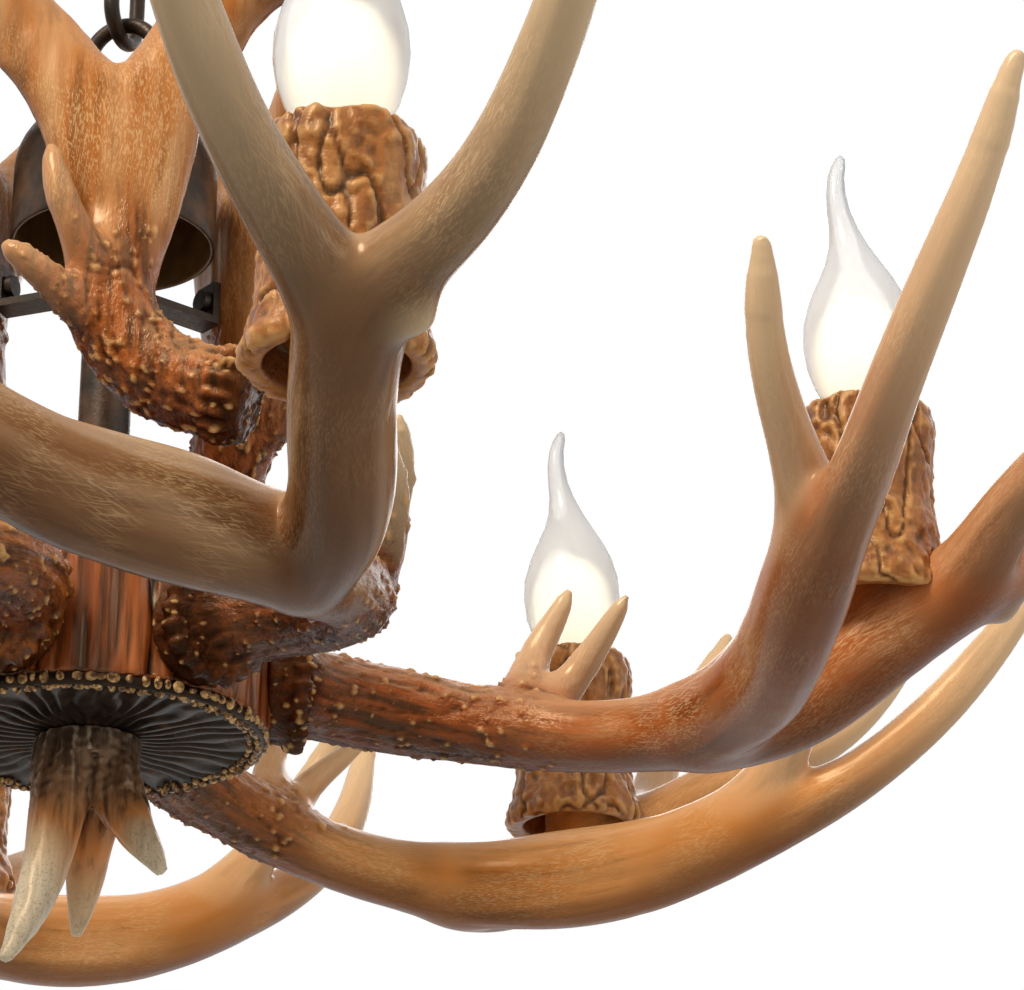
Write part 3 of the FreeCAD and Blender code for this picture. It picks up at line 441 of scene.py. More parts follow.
def hub_dark_finish():
    """Near-black stain with worn brown ridges, under the hub."""
    material, tree, shader = new_finish("hub_black_stain")
    wear = noise_of(tree, place_of(tree), 160.0, 4.0)
    body = ramped(tree, wear, [
        (0.40, (0.010, 0.007, 0.006)), (0.62, (0.030, 0.018, 0.012)), (0.80, (0.12, 0.055, 0.025))])
    set_shader(
        shader, Base_Color=body, Roughness=0.42, Specular_Tint=WARM_SHEEN, Specular_IOR_Level=0.15,
        Normal=bump_of(tree, wear, 0.5, 0.0008))
    return material


def bead_finish(gold):
    """Gold-brushed beads with brown left in their creases."""
    material, tree, shader = new_finish("rim_bead_gold")
    wear = noise_of(tree, place_of(tree), 520.0, 3.0)
    body = ramped(tree, wear, [
        (0.44, (0.07, 0.030, 0.014)), (0.56, darker(gold, 0.6)), (0.72, towards(gold, PALE, 0.6))])
    set_shader(shader, Base_Color=body, Roughness=0.36, Specular_Tint=WARM_SHEEN)
    return material


def finial_finish():
    """Grooved dark crown, orange middles and pale speckled tips."""
    material, tree, shader = new_finish("finial_stain")
    crest, hollow, reach = tone_of(tree)[:3]
    place = place_of(tree)
    fibre = streaks_of(tree, place, 0.14, 380.0, 4.0)
    specks = noise_of(tree, place, 1100.0, 2.0)
    body = ramped(tree, reach, [
        (0.05, (0.12, 0.075, 0.048)), (0.26, (0.26, 0.13, 0.062)), (0.44, (0.66, 0.26, 0.075)),
        (0.60, (0.66, 0.43, 0.23)), (0.85, (0.68, 0.56, 0.38))])
    crown = ramped(tree, reach, [(0.30, 1.0), (0.55, 0.25)])
    fibre_mask = product(tree, ramped(tree, fibre, [(0.36, 0.85), (0.52, 0.0)]), crown)
    body = mixed(tree, fibre_mask, body, (0.05, 0.028, 0.016))
    speck_area = ramped(tree, reach, [(0.45, 0.0), (0.8, 0.8)])
    speck_mask = product(tree, ramped(tree, specks, [(0.54, 0.0), (0.62, 1.0)]), speck_area)
    body = mixed(tree, product(tree, speck_mask, 0.5), body, (0.20, 0.14, 0.08))
    # painted shade in the hollows, strongest on the crown
    body = layered(tree, body, hollow, [(0.1, 0.0), (0.8, 0.9)], (0.018, 0.010, 0.006))
    body = layered(tree, body, crest, [(0.4, 0.0), (0.9, 0.7)], (0.52, 0.40, 0.27))
    set_shader(
        shader, Base_Color=body, Roughness=0.36, Specular_Tint=WARM_SHEEN,
        Normal=bump_of(tree, fibre, 0.45, 0.0006))
    return material


def bronze_finish(name, bronze, wear_amount):
    """Dark bronze paint, rubbed to brown in places, slightly pitted, and painted lighter brown inside a bell
    as painted light.
    """
    material, tree, shader = new_finish(name)
    place = place_of(tree)
    wear = noise_of(tree, place, 90.0, 5.0)
    pits = noise_of(tree, place, 900.0, 2.0)
    body = ramped(tree, wear, [
        (0.42, bronze), (0.60, towards(bronze, (0.13, 0.062, 0.026), wear_amount)),
        (0.78, towards(bronze, (0.26, 0.12, 0.045), wear_amount))])
    body = layered(tree, body, pits, [(0.66, 0.0), (0.74, 0.4)], (0.16, 0.12, 0.09))
    # painted light: a lighter brown on the inside of the bell
    painted_inside_light = ramped(tree, wear, [(0.35, (0.13, 0.070, 0.022)), (0.65, (0.26, 0.15, 0.055))])
    body = mixed(tree, attribute_of(tree, "inside"), body, painted_inside_light)
    set_shader(
        shader, Base_Color=body, Metallic=0.15, Roughness=ramped(tree, pits, [(0.3, 0.34), (0.7, 0.52)]),
        Specular_Tint=(1.0, 0.85, 0.70), Specular_IOR_Level=0.35, Normal=bump_of(tree, pits, 0.3, 0.0003))
    return material


def plain_metal(name, colour, roughness):
    """Plated metal with fine drawn streaks."""
    material, tree, shader = new_finish(name)
    grain = streaks_of(tree, place_of(tree), 0.1, 900.0, 2.0)
    set_shader(
        shader, Base_Color=ramped(tree, grain, [(0.3, darker(colour, 0.75)), (0.7, colour)]), Metallic=1.0,
        Roughness=roughness, Normal=bump_of(tree, grain, 0.1, 0.0002))
    return material


def insulator_finish():
    """Moulded pale heat-proof plastic with a faint mottle."""
    material, tree, shader = new_finish("holder_insulator")
    mottle = noise_of(tree, place_of(tree), 240.0, 3.0)
    set_shader(
        shader, Base_Color=ramped(tree, mottle, [(0.35, (0.66, 0.60, 0.50)), (0.70, (0.76, 0.71, 0.62))]),
        Roughness=0.45, Normal=bump_of(tree, mottle, 0.1, 0.0002))
    return material


def lamp_glass_finish():
    """Blown glass: pale, with painted shade darkening its rim, and lit by its lamp round the widest part."""
    material, tree, shader = new_finish("candle_lamp_glass")
    waves = noise_of(tree, place_of(tree), 60.0, 1.0)
    # painted shade: the glass turns darker towards its rim
    body = ramped(tree, facing_of(tree, 0.35), [
        (0.0, (0.80, 0.80, 0.79)), (0.50, (0.72, 0.72, 0.74)), (0.92, (0.32, 0.34, 0.38))])
    light = ramped(tree, attribute_of(tree, "heat"), [
        (0.04, 0.0), (0.45, (0.16, 0.155, 0.14)), (0.95, (0.34, 0.33, 0.29))])
    set_shader(
        shader, Base_Color=body, Roughness=ramped(tree, waves, [(0.3, 0.08), (0.7, 0.16)]),
        Transmission_Weight=0.3, IOR=1.25, Emission_Color=light, Emission_Strength=1.0)
    return material


def glow_finish():
    """Light of the lamp's filament, brightest in the middle of the bulb and soft at its rim."""
    material, tree, shader = new_finish("lamp_glow")
    flicker = noise_of(tree, place_of(tree), 120.0, 1.0)
    warm = mixed(tree, attribute_of(tree, "heat"), (1.0, 0.86, 0.62), (1.0, 0.97, 0.91))
    light = mixed(tree, product(tree, flicker, 0.1), warm, (1.0, 1.0, 1.0))
    alpha = ramped(tree, facing_of(tree, 0.5), [(0.0, 1.0), (0.25, 0.62), (0.55, 0.16), (0.85, 0.0)])
    set_shader(
        shader, Base_Color=(0.9, 0.88, 0.82), Roughness=0.6, Specular_IOR_Level=0.0, Alpha=alpha,
        Emission_Color=light, Emission_Strength=2.2)
    return material


# ---- dressing
def dress(piece, material):
    piece.data.materials.clear()
    piece.data.materials.append(material)


def dress_node(node, material):
    """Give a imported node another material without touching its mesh."""
    piece = frame["nodes"][node]
    if not piece.material_slots:
        piece.data.materials.append(material)
    for place in piece.material_slots:
        place.material = material


def hand_over(piece, material, node=None, body="fixture"):
    """Dress a new piece and tell the frame its body, the node that it replaces, if any."""
    dress(piece, material)
    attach(piece, body)
    if node is not None:
        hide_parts(node)


# ---- mesh helpers
def new_object(name, data):
    made = bpy.data.objects.new(name, data)
    bpy.context.scene.collection.objects.link(made)
    return made


def piece_from(name, bm, smooth=True):
    mesh = bpy.data.meshes.new(name)
    bmesh.ops.recalc_face_normals(bm, faces=bm.faces)
    bm.to_mesh(mesh)
    bm.free()
    if smooth:
        mesh.shade_smooth()
    return new_object(name, mesh)


def skin_of(node, name, voxel):
    """A closed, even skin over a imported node, as a new piece."""
    bm = bmesh.new()
    bm.from_mesh(frame["nodes"][node].data)
    bmesh.ops.remove_doubles(bm, verts=bm.verts, dist=WELD)
    mesh = bpy.data.meshes.new(name + "_raw")
    bm.to_mesh(mesh)
    bm.free()
    raw = new_object(name + "_raw", mesh)
    remesh = raw.modifiers.new("Skin", "REMESH")
    remesh.mode = "VOXEL"
    remesh.voxel_size = voxel
    remesh.use_smooth_shade = True
    graph = bpy.context.evaluated_depsgraph_get()
    skin = bpy.data.meshes.new_from_object(raw.evaluated_get(graph))
    skin.name = name
    bpy.data.objects.remove(raw)
    bpy.data.meshes.remove(mesh)
    return new_object(name, skin)


def vertex_vectors(mesh, kind):
    values = np.empty(len(mesh.vertices) * 3)
    mesh.vertices.foreach_get(kind, values)
    return values.reshape(-1, 3)


def points_of(mesh):
    return vertex_vectors(mesh, "co")


def normals_of(mesh):
    return vertex_vectors(mesh, "normal")


def move_points(mesh, points):
    mesh.vertices.foreach_set("co", points.ravel())
    mesh.update()


def raised(mesh, points, normals, lift):
    """Move the mesh's points along their normals, and return their new places."""
    points = points + normals * lift[:, None]
    move_points(mesh, points)
    return points


def put_values(mesh, name, values):
    """Store one number, vector or colour for each vertex as a named attribute."""
    width = values.size // len(mesh.vertices)
    kinds = {1: ("FLOAT", "value"), 3: ("FLOAT_VECTOR", "vector"), 4: ("FLOAT_COLOR", "color")}
    kind, field = kinds[width]
    mesh.attributes.new(name, kind, "POINT").data.foreach_set(field, values.ravel())


def relaxed(mesh, rounds, chosen=None):
    """Smooth the chosen vertices, or all of them."""
    bm = bmesh.new()
    bm.from_mesh(mesh)
    bm.verts.ensure_lookup_table()
    verts = bm.verts[:] if chosen is None else [bm.verts[index] for index in np.flatnonzero(chosen)]
    for _ in range(rounds):
        bmesh.ops.smooth_vert(bm, verts=verts, factor=0.5, use_axis_x=True, use_axis_y=True, use_axis_z=True)
    bm.to_mesh(mesh)
    bm.free()
    mesh.update()


def spread_out(mesh, values, rounds):
    """Average a per-vertex value with its neighbours, a few times over."""
    ends = np.empty(len(mesh.edges) * 2, dtype=np.int64)
    mesh.edges.foreach_get("vertices", ends)
    first, second = ends[0::2], ends[1::2]
    count = len(mesh.vertices)
    degree = np.bincount(first, minlength=count) + np.bincount(second, minlength=count)
    degree = np.maximum(degree, 1)
    result = values.reshape(count, -1).copy()
    for _ in range(rounds):
        for column in range(result.shape[1]):
            line = result[:, column]
            total = np.bincount(first, line[second], minlength=count)
            total += np.bincount(second, line[first], minlength=count)
            result[:, column] = 0.5 * line + 0.5 * total / degree
    return result.reshape(values.shape)


def eased(value, low, high):
    share = np.clip((value - low) / (high - low), 0.0, 1.0)
    return share * share * (3.0 - 2.0 * share)


def noise_at(points, scale, seed, squeeze=1.0):
    """Smooth noise from -1 to 1 at each point; a squeeze below 1 draws it out along Z."""
    shift = Vector((seed * 3.7, seed * 1.3, seed * 7.1))
    drawn = points * np.array([1.0, 1.0, squeeze])
    return np.array([noise.noise(Vector(point) * scale + shift) for point in drawn.tolist()])


def local_height(mesh, points, rounds):
    """How far each vertex stands above its neighbourhood, in metres: negative in a hollow."""
    around = spread_out(mesh, points, rounds)
    return np.einsum("ij,ij->i", points - around, normals_of(mesh))


def crests_and_hollows(mesh, points):
    """Two masks, from 0 to 1, of the ridges and of the hollows of a carved surface."""
    step = local_height(mesh, points, 8) / TONE_DEPTH
    return np.clip(step, 0.0, 1.0), np.clip(-step, 0.0, 1.0)


def put_tone(mesh, *channels, rounds=0):
    """Store up to four values of each vertex as the channels of its tone colour, and 1 in the rest."""
    rest = [np.ones(len(mesh.vertices))] * (4 - len(channels))
    put_values(mesh, "tone", spread_out(mesh, np.stack([*channels, *rest], axis=1), rounds))


# ---- centre lines of the antlers
def dense_line(stations, matrix, steps=8):
    """Catmull-Rom points through the stations, in metres: place, half width and half height."""
    rows = []
    for x, y, z, half_width, half_height in stations:
        place = matrix @ Vector((x * MM, y * MM, z * MM))
        rows.append([*place, half_width * MM, half_height * MM])
    rows = np.array(rows)
    padded = np.vstack([2 * rows[0] - rows[1], rows, 2 * rows[-1] - rows[-2]])
    line = []
    for index in range(1, len(padded) - 2):
        before, start, end, after = padded[index - 1:index + 3]
        for step in range(steps):
            t = step / steps
            line.append(0.5 * (
                2 * start + (end - before) * t + (2 * before - 5 * start + 4 * end - after) * t ** 2
                + (3 * start - before - 3 * end + after) * t ** 3))
    line.append(rows[-1])
    return np.array(line)


def branch_lines(paths, matrix, rise_axis, blunt=()):
    """Each branch as arrays along its centre line; a blunt branch ends inside others and has no tip."""
    rise_axis = np.array(matrix.to_3x3() @ Vector(rise_axis))
    branches = []
    for name, stations in paths.items():
        line = dense_line(stations, matrix)
        place, half = line[:, :3], line[:, 3:]
        run = np.concatenate([[0.0], np.cumsum(np.linalg.norm(np.diff(place, axis=0), axis=1))])
        start = 0.0
        if branches:
            gaps = [np.linalg.norm(known["place"] - place[0], axis=1) for known in branches]
            nearest = min(range(len(gaps)), key=lambda index: gaps[index].min())
            start = branches[nearest]["reach"][np.argmin(gaps[nearest])]
        direction = np.gradient(place, axis=0)
        direction /= np.linalg.norm(direction, axis=1)[:, None]
        side = np.cross(direction, rise_axis)
        side /= np.linalg.norm(side, axis=1)[:, None]
        stretch = max(1.0, TIP_FADE / run[-1])  # keeps the root of a short tine from turning pale
        beyond = BLUNT_AHEAD if name in blunt else 0.0
        branches.append({
            "place": place, "half": half, "reach": run + start, "direction": direction, "side": side,
            "rise": np.cross(side, direction), "ahead": (run[-1] - run) * stretch + beyond})
    return branches


def near_branch(points, branch):
    """For each point: depth outside the branch's skin, flow coordinates, distance to the tip, radius."""
    place, half = branch["place"], branch["half"]
    mean = np.sqrt(half[:, 0] * half[:, 1])
    nearest = np.empty(len(points), dtype=np.int64)
    chunk = 8000
    for start in range(0, len(points), chunk):
        part = points[start:start + chunk]
        gaps = np.linalg.norm(part[:, None, :] - place[None, :, :], axis=2) - mean[None, :]
        nearest[start:start + chunk] = np.argmin(gaps, axis=1)
    offset = points - place[nearest]
    slide = np.einsum("ij,ij->i", offset, branch["direction"][nearest])
    across = np.einsum("ij,ij->i", offset, branch["side"][nearest])
    up = np.einsum("ij,ij->i", offset, branch["rise"][nearest])
    width, height = half[nearest, 0], half[nearest, 1]
    depth = (np.sqrt((across / width) ** 2 + (up / height) ** 2) - 1.0) * mean[nearest]
    depth = np.maximum(depth, np.abs(slide) - 0.003)
    flow = np.stack([across, up, branch["reach"][nearest] + slide], axis=1)
    return depth, flow, branch["ahead"][nearest] - slide, mean[nearest]


def along_branches(points, branches):
    """Each point's values on its nearest branch, the swelling where two meet, and how near a seam is."""
    found = [near_branch(points, branch) for branch in branches]
    depths = np.stack([item[0] for item in found])
    order = np.argsort(depths, axis=0)
    rows = np.arange(len(points))
    first, second = order[0], order[1]
    flow = np.stack([item[1] for item in found])[first, rows]
    ahead = np.stack([item[2] for item in found])[first, rows]
    radii = np.stack([item[3] for item in found])
    radius = radii[first, rows]
    web = np.minimum(WEB_REACH, 1.25 * np.minimum(radius, radii[second, rows]))
    apart = np.abs(depths[first, rows] - depths[second, rows])
    share = np.clip(1.0 - apart / web, 0.0, 1.0)
    return flow, ahead, radius, share ** 2 * web / 4.0, 1.0 - eased(apart, 0.001, 0.007)


# ---- carving
def scatter_beads(points, chance, flow, count, height, seed):
    """Raise small round pearls on the chosen part of a skin; returns the lift and the bead mask."""
    dice = np.random.default_rng(seed)
    lift = np.zeros(len(points))
    mask = np.zeros(len(points))
    zone = np.flatnonzero(chance > 0.02)
    if len(zone) == 0 or count == 0:
        return lift, mask
    weight = chance[zone] / chance[zone].sum()
    seats = dice.choice(zone, size=count, p=weight)
    sizes = dice.uniform(SMALL_PEARL, LARGE_PEARL, size=count)
    for seat, size in zip(seats, sizes):
        gap = flow[zone] - flow[seat]
        gap[:, 2] *= 0.62
        share = 1.0 - np.einsum("ij,ij->i", gap, gap) / size ** 2
        near = share > 0.0
        bump = share[near] ** 1.5
        rise = height * (0.4 + 0.6 * size / LARGE_PEARL)
        lift[zone[near]] = np.maximum(lift[zone[near]], bump * rise)
        mask[zone[near]] = np.maximum(mask[zone[near]], bump)
    return lift, mask


def carve_antler(piece, branches, sizes, base_end, seed, fixed=None, extra=None, upright=False):
    """Web the crotches, fold and pearl the base, and lay down the colour and flow attributes."""
    mesh = piece.data
    points = points_of(mesh)
    free = np.ones(len(points)) if fixed is None else fixed(points)
    _, ahead, radius, web, _ = along_branches(points, branches)
    points = points + normals_of(mesh) * (web * free)[:, None]
    soft = (eased(web, 0.0001, 0.0012) * free)[:, None]
    points += soft * (spread_out(mesh, points, 60) - points)
    move_points(mesh, points)
    relaxed(mesh, 16, (radius > 0.0052) & (free > 0.5))
    relaxed(mesh, 12, (ahead < 0.012) & (free > 0.5))
    relaxed(mesh, 2, free > 0.5)
    points = points_of(mesh)
    flow, ahead, radius, _, calm = along_branches(points, branches)
    flow = spread_out(mesh, flow, 2)
    ahead = spread_out(mesh, ahead, 20)
    calm = np.zeros(len(points)) if upright else spread_out(mesh, calm, 6)
    grain = points if upright else flow
    reach = flow[:, 2]

    ragged_end = base_end + 0.026 * noise_at(flow, 70.0, seed, 0.3)
    base = 1.0 - eased(reach, ragged_end * 0.70, ragged_end)
    fold = noise_at(flow, 380.0, seed + 1, 0.26)
    fine_fold = noise_at(flow, 720.0, seed + 2, 0.40)
    ripple = noise_at(grain, 115.0, seed + 3, 0.11) * (1.0 - calm)
    groove = noise_at(grain, 330.0, seed + 4, 0.05) * (1.0 - calm)
    shape = sizes.gnarl * base * (0.75 * fold + 0.45 * fine_fold - 0.8 * eased(-np.abs(ripple), -0.10, 0.0))
    shape += (1.0 - base) * (0.00050 * ripple + 0.00026 * groove)
    shape = spread_out(mesh, shape, 1)
    lift, bead = scatter_beads(points, base ** 1.2, flow, sizes.beads, sizes.bead_height, seed)
    shape += lift
    pale = np.zeros(len(points))
    if extra is not None:
        rise, pale = extra(points, flow)
        shape += rise
    points = raised(mesh, points, normals_of(mesh), shape * np.clip(radius / 0.006, 0.25, 1.0) * free)

    # Mask of painted shade: the hollows of the relief, and painted shadow at the antler's root end
    hollow = np.clip(-local_height(mesh, points, 7) / 0.00024, 0.0, 1.0) * (0.55 + 0.45 * base)
    hollow = np.maximum(hollow, 0.8 * (1.0 - eased(reach, 0.004, 0.013)))
    bead = np.maximum(bead * 0.8, base * eased(fine_fold + 0.5 * fold, 0.52, 0.90) * 0.30)
    tip = np.maximum((1.0 - eased(ahead, 0.0, TIP_FADE)) ** 0.8, pale)
    put_tone(mesh, base, tip, bead, hollow, rounds=1)
    put_values(mesh, "flow", grain)
    put_values(mesh, "calm", calm)


def arm_turn(index):
    return Matrix.Rotation(math.radians(FIRST_AZIMUTH + index * 360.0 / ARMS), 4, "Z")


def arm_matrix(index):
    """From the frame of a casting's seat to the chandelier's frame."""
    swing, lift, twist = ARM_SEATS[index]
    seat = Matrix.Rotation(math.radians(swing), 4, "Z")
    seat = seat @ Matrix.Rotation(math.radians(-lift), 4, "Y") @ Matrix.Rotation(math.radians(twist), 4, "X")
    neck = Matrix.Translation((NECK_LENGTH, 0.0, 0.0))
    about = Matrix.Translation((HUB_FLAT, 0.0, 0.0)) @ neck @ seat @ neck.inverted()
    return Matrix.Translation((0.0, 0.0, ARM_LEVEL)) @ arm_turn(index) @ about


def neck_coordinates(points, index):
    """Distance out from the hub's flat, distance from the arm's stud, and angle round it."""
    turn = np.array(arm_turn(index).to_3x3())
    local = (points - np.array([0.0, 0.0, ARM_LEVEL])) @ turn
    return local[:, 0] - HUB_FLAT, np.hypot(local[:, 1], local[:, 2]), np.arctan2(local[:, 2], local[:, 1])


def bead_ring(out, turns, height, starts, ends):
    """Relief of a ring of beads round a neck, between where it starts and where it ends along the neck."""
    window = eased(out, *starts) * (1.0 - eased(out, *ends))
    return window * height * (0.5 + 0.5 * np.cos(turns)) ** 1.5


def burr_and_knob(index):
    """Relief and paleness of the beaded burr at an arm's neck and of the stub beside its crown fork."""
    knob = np.array(arm_matrix(index) @ (Vector(KNOB) * MM))

    def relief(points, flow):
        out, distance, angle = neck_coordinates(points, index)
        burr = bead_ring(out, 19.0 * angle + index, 0.0016, (0.0065, 0.0085), (0.0125, 0.0150))
        burr *= eased(distance, 0.0145, 0.0160)
        stub = np.exp(-(np.linalg.norm(points - knob, axis=1) / 0.0062) ** 2)
        return burr + 0.0042 * stub, 0.75 * stub

    return relief


def beaded_end(points, flow):
    """Relief and paleness of the beaded burr at the inner end of an upper antler."""
    turns = 17.0 * np.arctan2(flow[:, 1], flow[:, 0])
    return bead_ring(flow[:, 2], turns, 0.0018, (0.003, 0.006), (0.011, 0.014)), np.zeros(len(points))


class CHANDELIER_OT_arm_antlers(bpy.types.Operator):
    """Carve and stain the six arm antlers"""
    bl_idname = "chandelier.arm_antlers"
    bl_label = "Arm antlers"

    def execute(self, context):
        sizes = context.scene.antler_sizes
        stains = context.scene.stain_colours
        finishes = {}
        for name in BASE_ENDS:
            finishes[name] = antler_finish("antler_" + name, tuple(getattr(stains, name)), tuple(stains.gold))
        for index, stain in enumerate(ARM_STAINS):
            node = "arm_antler_%d" % (index + 1)
            piece = skin_of(node, "carved_arm_%d" % (index + 1), sizes.skin)
            branches = branch_lines(ARM_PATHS, arm_matrix(index), (0.0, 0.0, 1.0))

            def away_from_seat(points, index=index):
                return eased(neck_coordinates(points, index)[0], 0.0015, 0.0035)

            carve_antler(
                piece, branches, sizes, BASE_ENDS[stain], ARM_SEED + index, fixed=away_from_seat,
                extra=burr_and_knob(index))
            hand_over(piece, finishes[stain], node)
        return {"FINISHED"}


class CHANDELIER_OT_upper_antlers(bpy.types.Operator):
    """Carve and stain the three antlers round the stem"""
    bl_idname = "chandelier.upper_antlers"
    bl_label = "Upper antlers"

    def execute(self, context):
        sizes = context.scene.antler_sizes
        stains = context.scene.stain_colours
        finish = antler_finish("antler_amber", tuple(stains.amber), tuple(stains.gold), tip_paleness=0.22)
        for index in range(UPPER_ANTLERS):
            node = "upper_antler_%d" % (index + 1)
            piece = skin_of(node, "carved_upper_%d" % (index + 1), sizes.skin)
            turn = math.radians(index * 360.0 / UPPER_ANTLERS)
            matrix = Matrix.Translation((0.0, 0.0, ARM_LEVEL)) @ Matrix.Rotation(turn, 4, "Z")
            branches = branch_lines(UPPER_PATHS, matrix, (0.0, 1.0, 0.0), blunt=("beam",))
            carve_antler(
                piece, branches, sizes, UPPER_BASE_END, UPPER_SEED + index, extra=beaded_end, upright=True)
            hand_over(piece, finish, node)
        return {"FINISHED"}


# ---- cups, hub and finial
def outward_share(points, normals, axis=(0.0, 0.0)):
    """How squarely each vertex faces away from an upright axis, and its distance from it."""
    radial = points[:, :2] - np.array(axis)
    distance = np.linalg.norm(radial, axis=1)
    return np.einsum("ij,ij->i", radial, normals[:, :2]) / np.maximum(distance, 1e-6), distance


def carve_cup(piece, axis, sizes, seed):
    """Rough the outside of a cup into bark, and leave its bore and floor smooth."""
    mesh = piece.data
    relaxed(mesh, 4)
    points = points_of(mesh)
    normals = normals_of(mesh)
    outward, distance = outward_share(points, normals, axis)
    outside = eased(outward, -0.1, 0.5) * eased(distance, 0.0150, 0.0175)
    lumps = noise_at(points, 105.0, seed, 0.55)
    knots = noise_at(points, 360.0, seed + 1)
    ridges = 1.0 - 2.0 * np.abs(noise_at(points, 190.0, seed + 2, 0.55))
    cracks = -eased(-np.abs(noise_at(points, 120.0, seed + 3, 0.3)), -0.08, 0.0)
    relief = np.clip(0.60 * lumps + 0.38 * knots + 0.30 * ridges + 0.8 * cracks, -1.3, 1.5)
    points = raised(mesh, points, normals, sizes.bark * outside * relief)
    put_tone(mesh, *crests_and_hollows(mesh, points), rounds=1)


class CHANDELIER_OT_candle_cups(bpy.types.Operator):
    """Carve the six bark-textured candle cups"""
    bl_idname = "chandelier.candle_cups"
    bl_label = "Candle cups"

    def execute(self, context):
        sizes = context.scene.cup_sizes
        stains = context.scene.stain_colours
        finish = bark_finish(tuple(stains.bark), tuple(stains.gold))
        for index in range(ARMS):
            node = "candle_cup_%d" % (index + 1)
            low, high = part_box("lampholder_%d" % (index + 1))
            axis = ((low[0] + high[0]) / 2, (low[1] + high[1]) / 2)
            piece = skin_of(node, "bark_cup_%d" % (index + 1), sizes.skin)
            carve_cup(piece, axis, sizes, CUP_SEED + index)
            hand_over(piece, finish, node)
        return {"FINISHED"}


def carve_trunk(piece):
    """Cut upright grain into the trunk's round side."""
    mesh = piece.data
    relaxed(mesh, 3)
    points = points_of(mesh)
    normals = normals_of(mesh)
    outward, distance = outward_share(points, normals)
    side = eased(outward, 0.3, 0.8) * eased(distance, 0.047, 0.050)
    planks = noise_at(points, 150.0, TRUNK_SEED, 0.12)
    fibres = noise_at(points, 420.0, TRUNK_SEED + 1, 0.12)
    cracks = -eased(-np.abs(noise_at(points, 110.0, TRUNK_SEED + 3, 0.12)), -0.06, 0.0)
    points = raised(mesh, points, normals, 0.0018 * side * (0.9 * planks + 0.45 * fibres + 0.9 * cracks))
    put_tone(mesh, *crests_and_hollows(mesh, points), rounds=1)


def turned(outline, steps):
    """A closed ring turned about Z, as a bmesh, from a closed outline of radius and height."""
    bm = bmesh.new()
    profile = [bm.verts.new((radius, 0.0, height)) for radius, height in outline]
    edges = [bm.edges.new(pair) for pair in zip(profile, profile[1:] + profile[:1])]
    bmesh.ops.spin(
        bm, geom=profile + edges, cent=(0, 0, 0), axis=(0, 0, 1), angle=math.tau, steps=steps, use_merge=True)
    bmesh.ops.remove_doubles(bm, verts=bm.verts, dist=WELD)
    return bm


DISC_HOLE = 0.0042
DISC_RINGS = 22
DISC_STEPS = 432
GROOVES = 38
GROOVE_DEPTH = 0.0012
GROOVE_START = 0.012            # from the axis


def grooved_disc():
    """Underside of the hub: a thin disc whose lower face is cut with wavy radial grooves."""
    low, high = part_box("hub_base_disc")
    radius = high[0]
    face = [(DISC_HOLE + (radius - DISC_HOLE) * ring / DISC_RINGS, low[2]) for ring in range(DISC_RINGS + 1)]
    bm = turned(face + [(radius, high[2]), (DISC_HOLE, high[2])], DISC_STEPS)
    for vert in bm.verts:
        distance = math.hypot(vert.co.x, vert.co.y)
        if vert.co.z > low[2] + 0.0005 or distance < GROOVE_START:
            continue
        angle = math.atan2(vert.co.y, vert.co.x)
        angle += 0.13 * noise.noise(Vector((vert.co.x, vert.co.y, 0.0)) * 75.0)
        fade = min(1.0, (distance - GROOVE_START) / 0.008) * min(1.0, (radius + 0.001 - distance) / 0.004)
        vert.co.z += GROOVE_DEPTH * fade * (0.5 + 0.5 * math.cos(GROOVES * angle)) ** 2
    return piece_from("grooved_hub_disc", bm)


RIM_BEADS = 84                  # in each row
# Rows of beads on the hub's rim: distance from the axis, height above the disc's underside, radius.
RIM_ROWS = ((0.0521, 0.0016, 0.00150), (0.0498, -0.0001, 0.00135), (0.0474, 0.0002, 0.0012))


def rim_beads():
    """Three rows of uneven beads round the edge of the hub."""
    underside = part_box("hub_base_disc")[0][2]
    bm = bmesh.new()
    for row, (distance, height, size) in enumerate(RIM_ROWS):
        for index in range(RIM_BEADS):
            angle = math.tau * (index + 0.5 * row + 0.22 * math.sin(5.0 * index + 2.0 * row)) / RIM_BEADS
            radius = size * (1.0 + 0.22 * math.sin(3.7 * index + row))
            made = bmesh.ops.create_icosphere(bm, subdivisions=2, radius=radius)
            wobble = 0.22 * math.sin(7.0 * index + row)
            stretch = Matrix.Diagonal((0.8, 1.0 + wobble, 1.0 - wobble, 1.0))
            seat = Matrix.Translation((distance, 0.0, underside + height))
            place = Matrix.Rotation(angle, 4, "Z") @ seat @ stretch
            bmesh.ops.transform(bm, matrix=place, verts=made["verts"])
    return piece_from("rim_beads", bm)


def rim_band():
    """Plain band that the beads sit on, with a rolled edge."""
    low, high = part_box("hub_base_disc")
    bottom, top = low[2], high[2]
    outline = [
        (0.0496, bottom + 0.0002), (0.0506, bottom - 0.0006), (0.0516, bottom - 0.0002),
        (0.0520, bottom + 0.0012), (0.0519, top - 0.0006), (0.0512, top), (0.0500, top),
        (0.0496, top - 0.0008),
    ]
    return piece_from("rim_band", turned(outline, 192))


class CHANDELIER_OT_hub(bpy.types.Operator):
    """Grain the trunk, groove its underside and bead its rim"""
    bl_idname = "chandelier.hub"
    bl_label = "Hub"

    def execute(self, context):
        trunk = skin_of("hub_trunk", "grained_trunk", TRUNK_SKIN)
        carve_trunk(trunk)
        hand_over(trunk, trunk_finish(), "hub_trunk")
        dark = hub_dark_finish()
        hand_over(grooved_disc(), dark, "hub_base_disc")
        hand_over(rim_band(), dark, "hub_rim")
        hand_over(rim_beads(), bead_finish(tuple(context.scene.stain_colours.gold)))
        return {"FINISHED"}


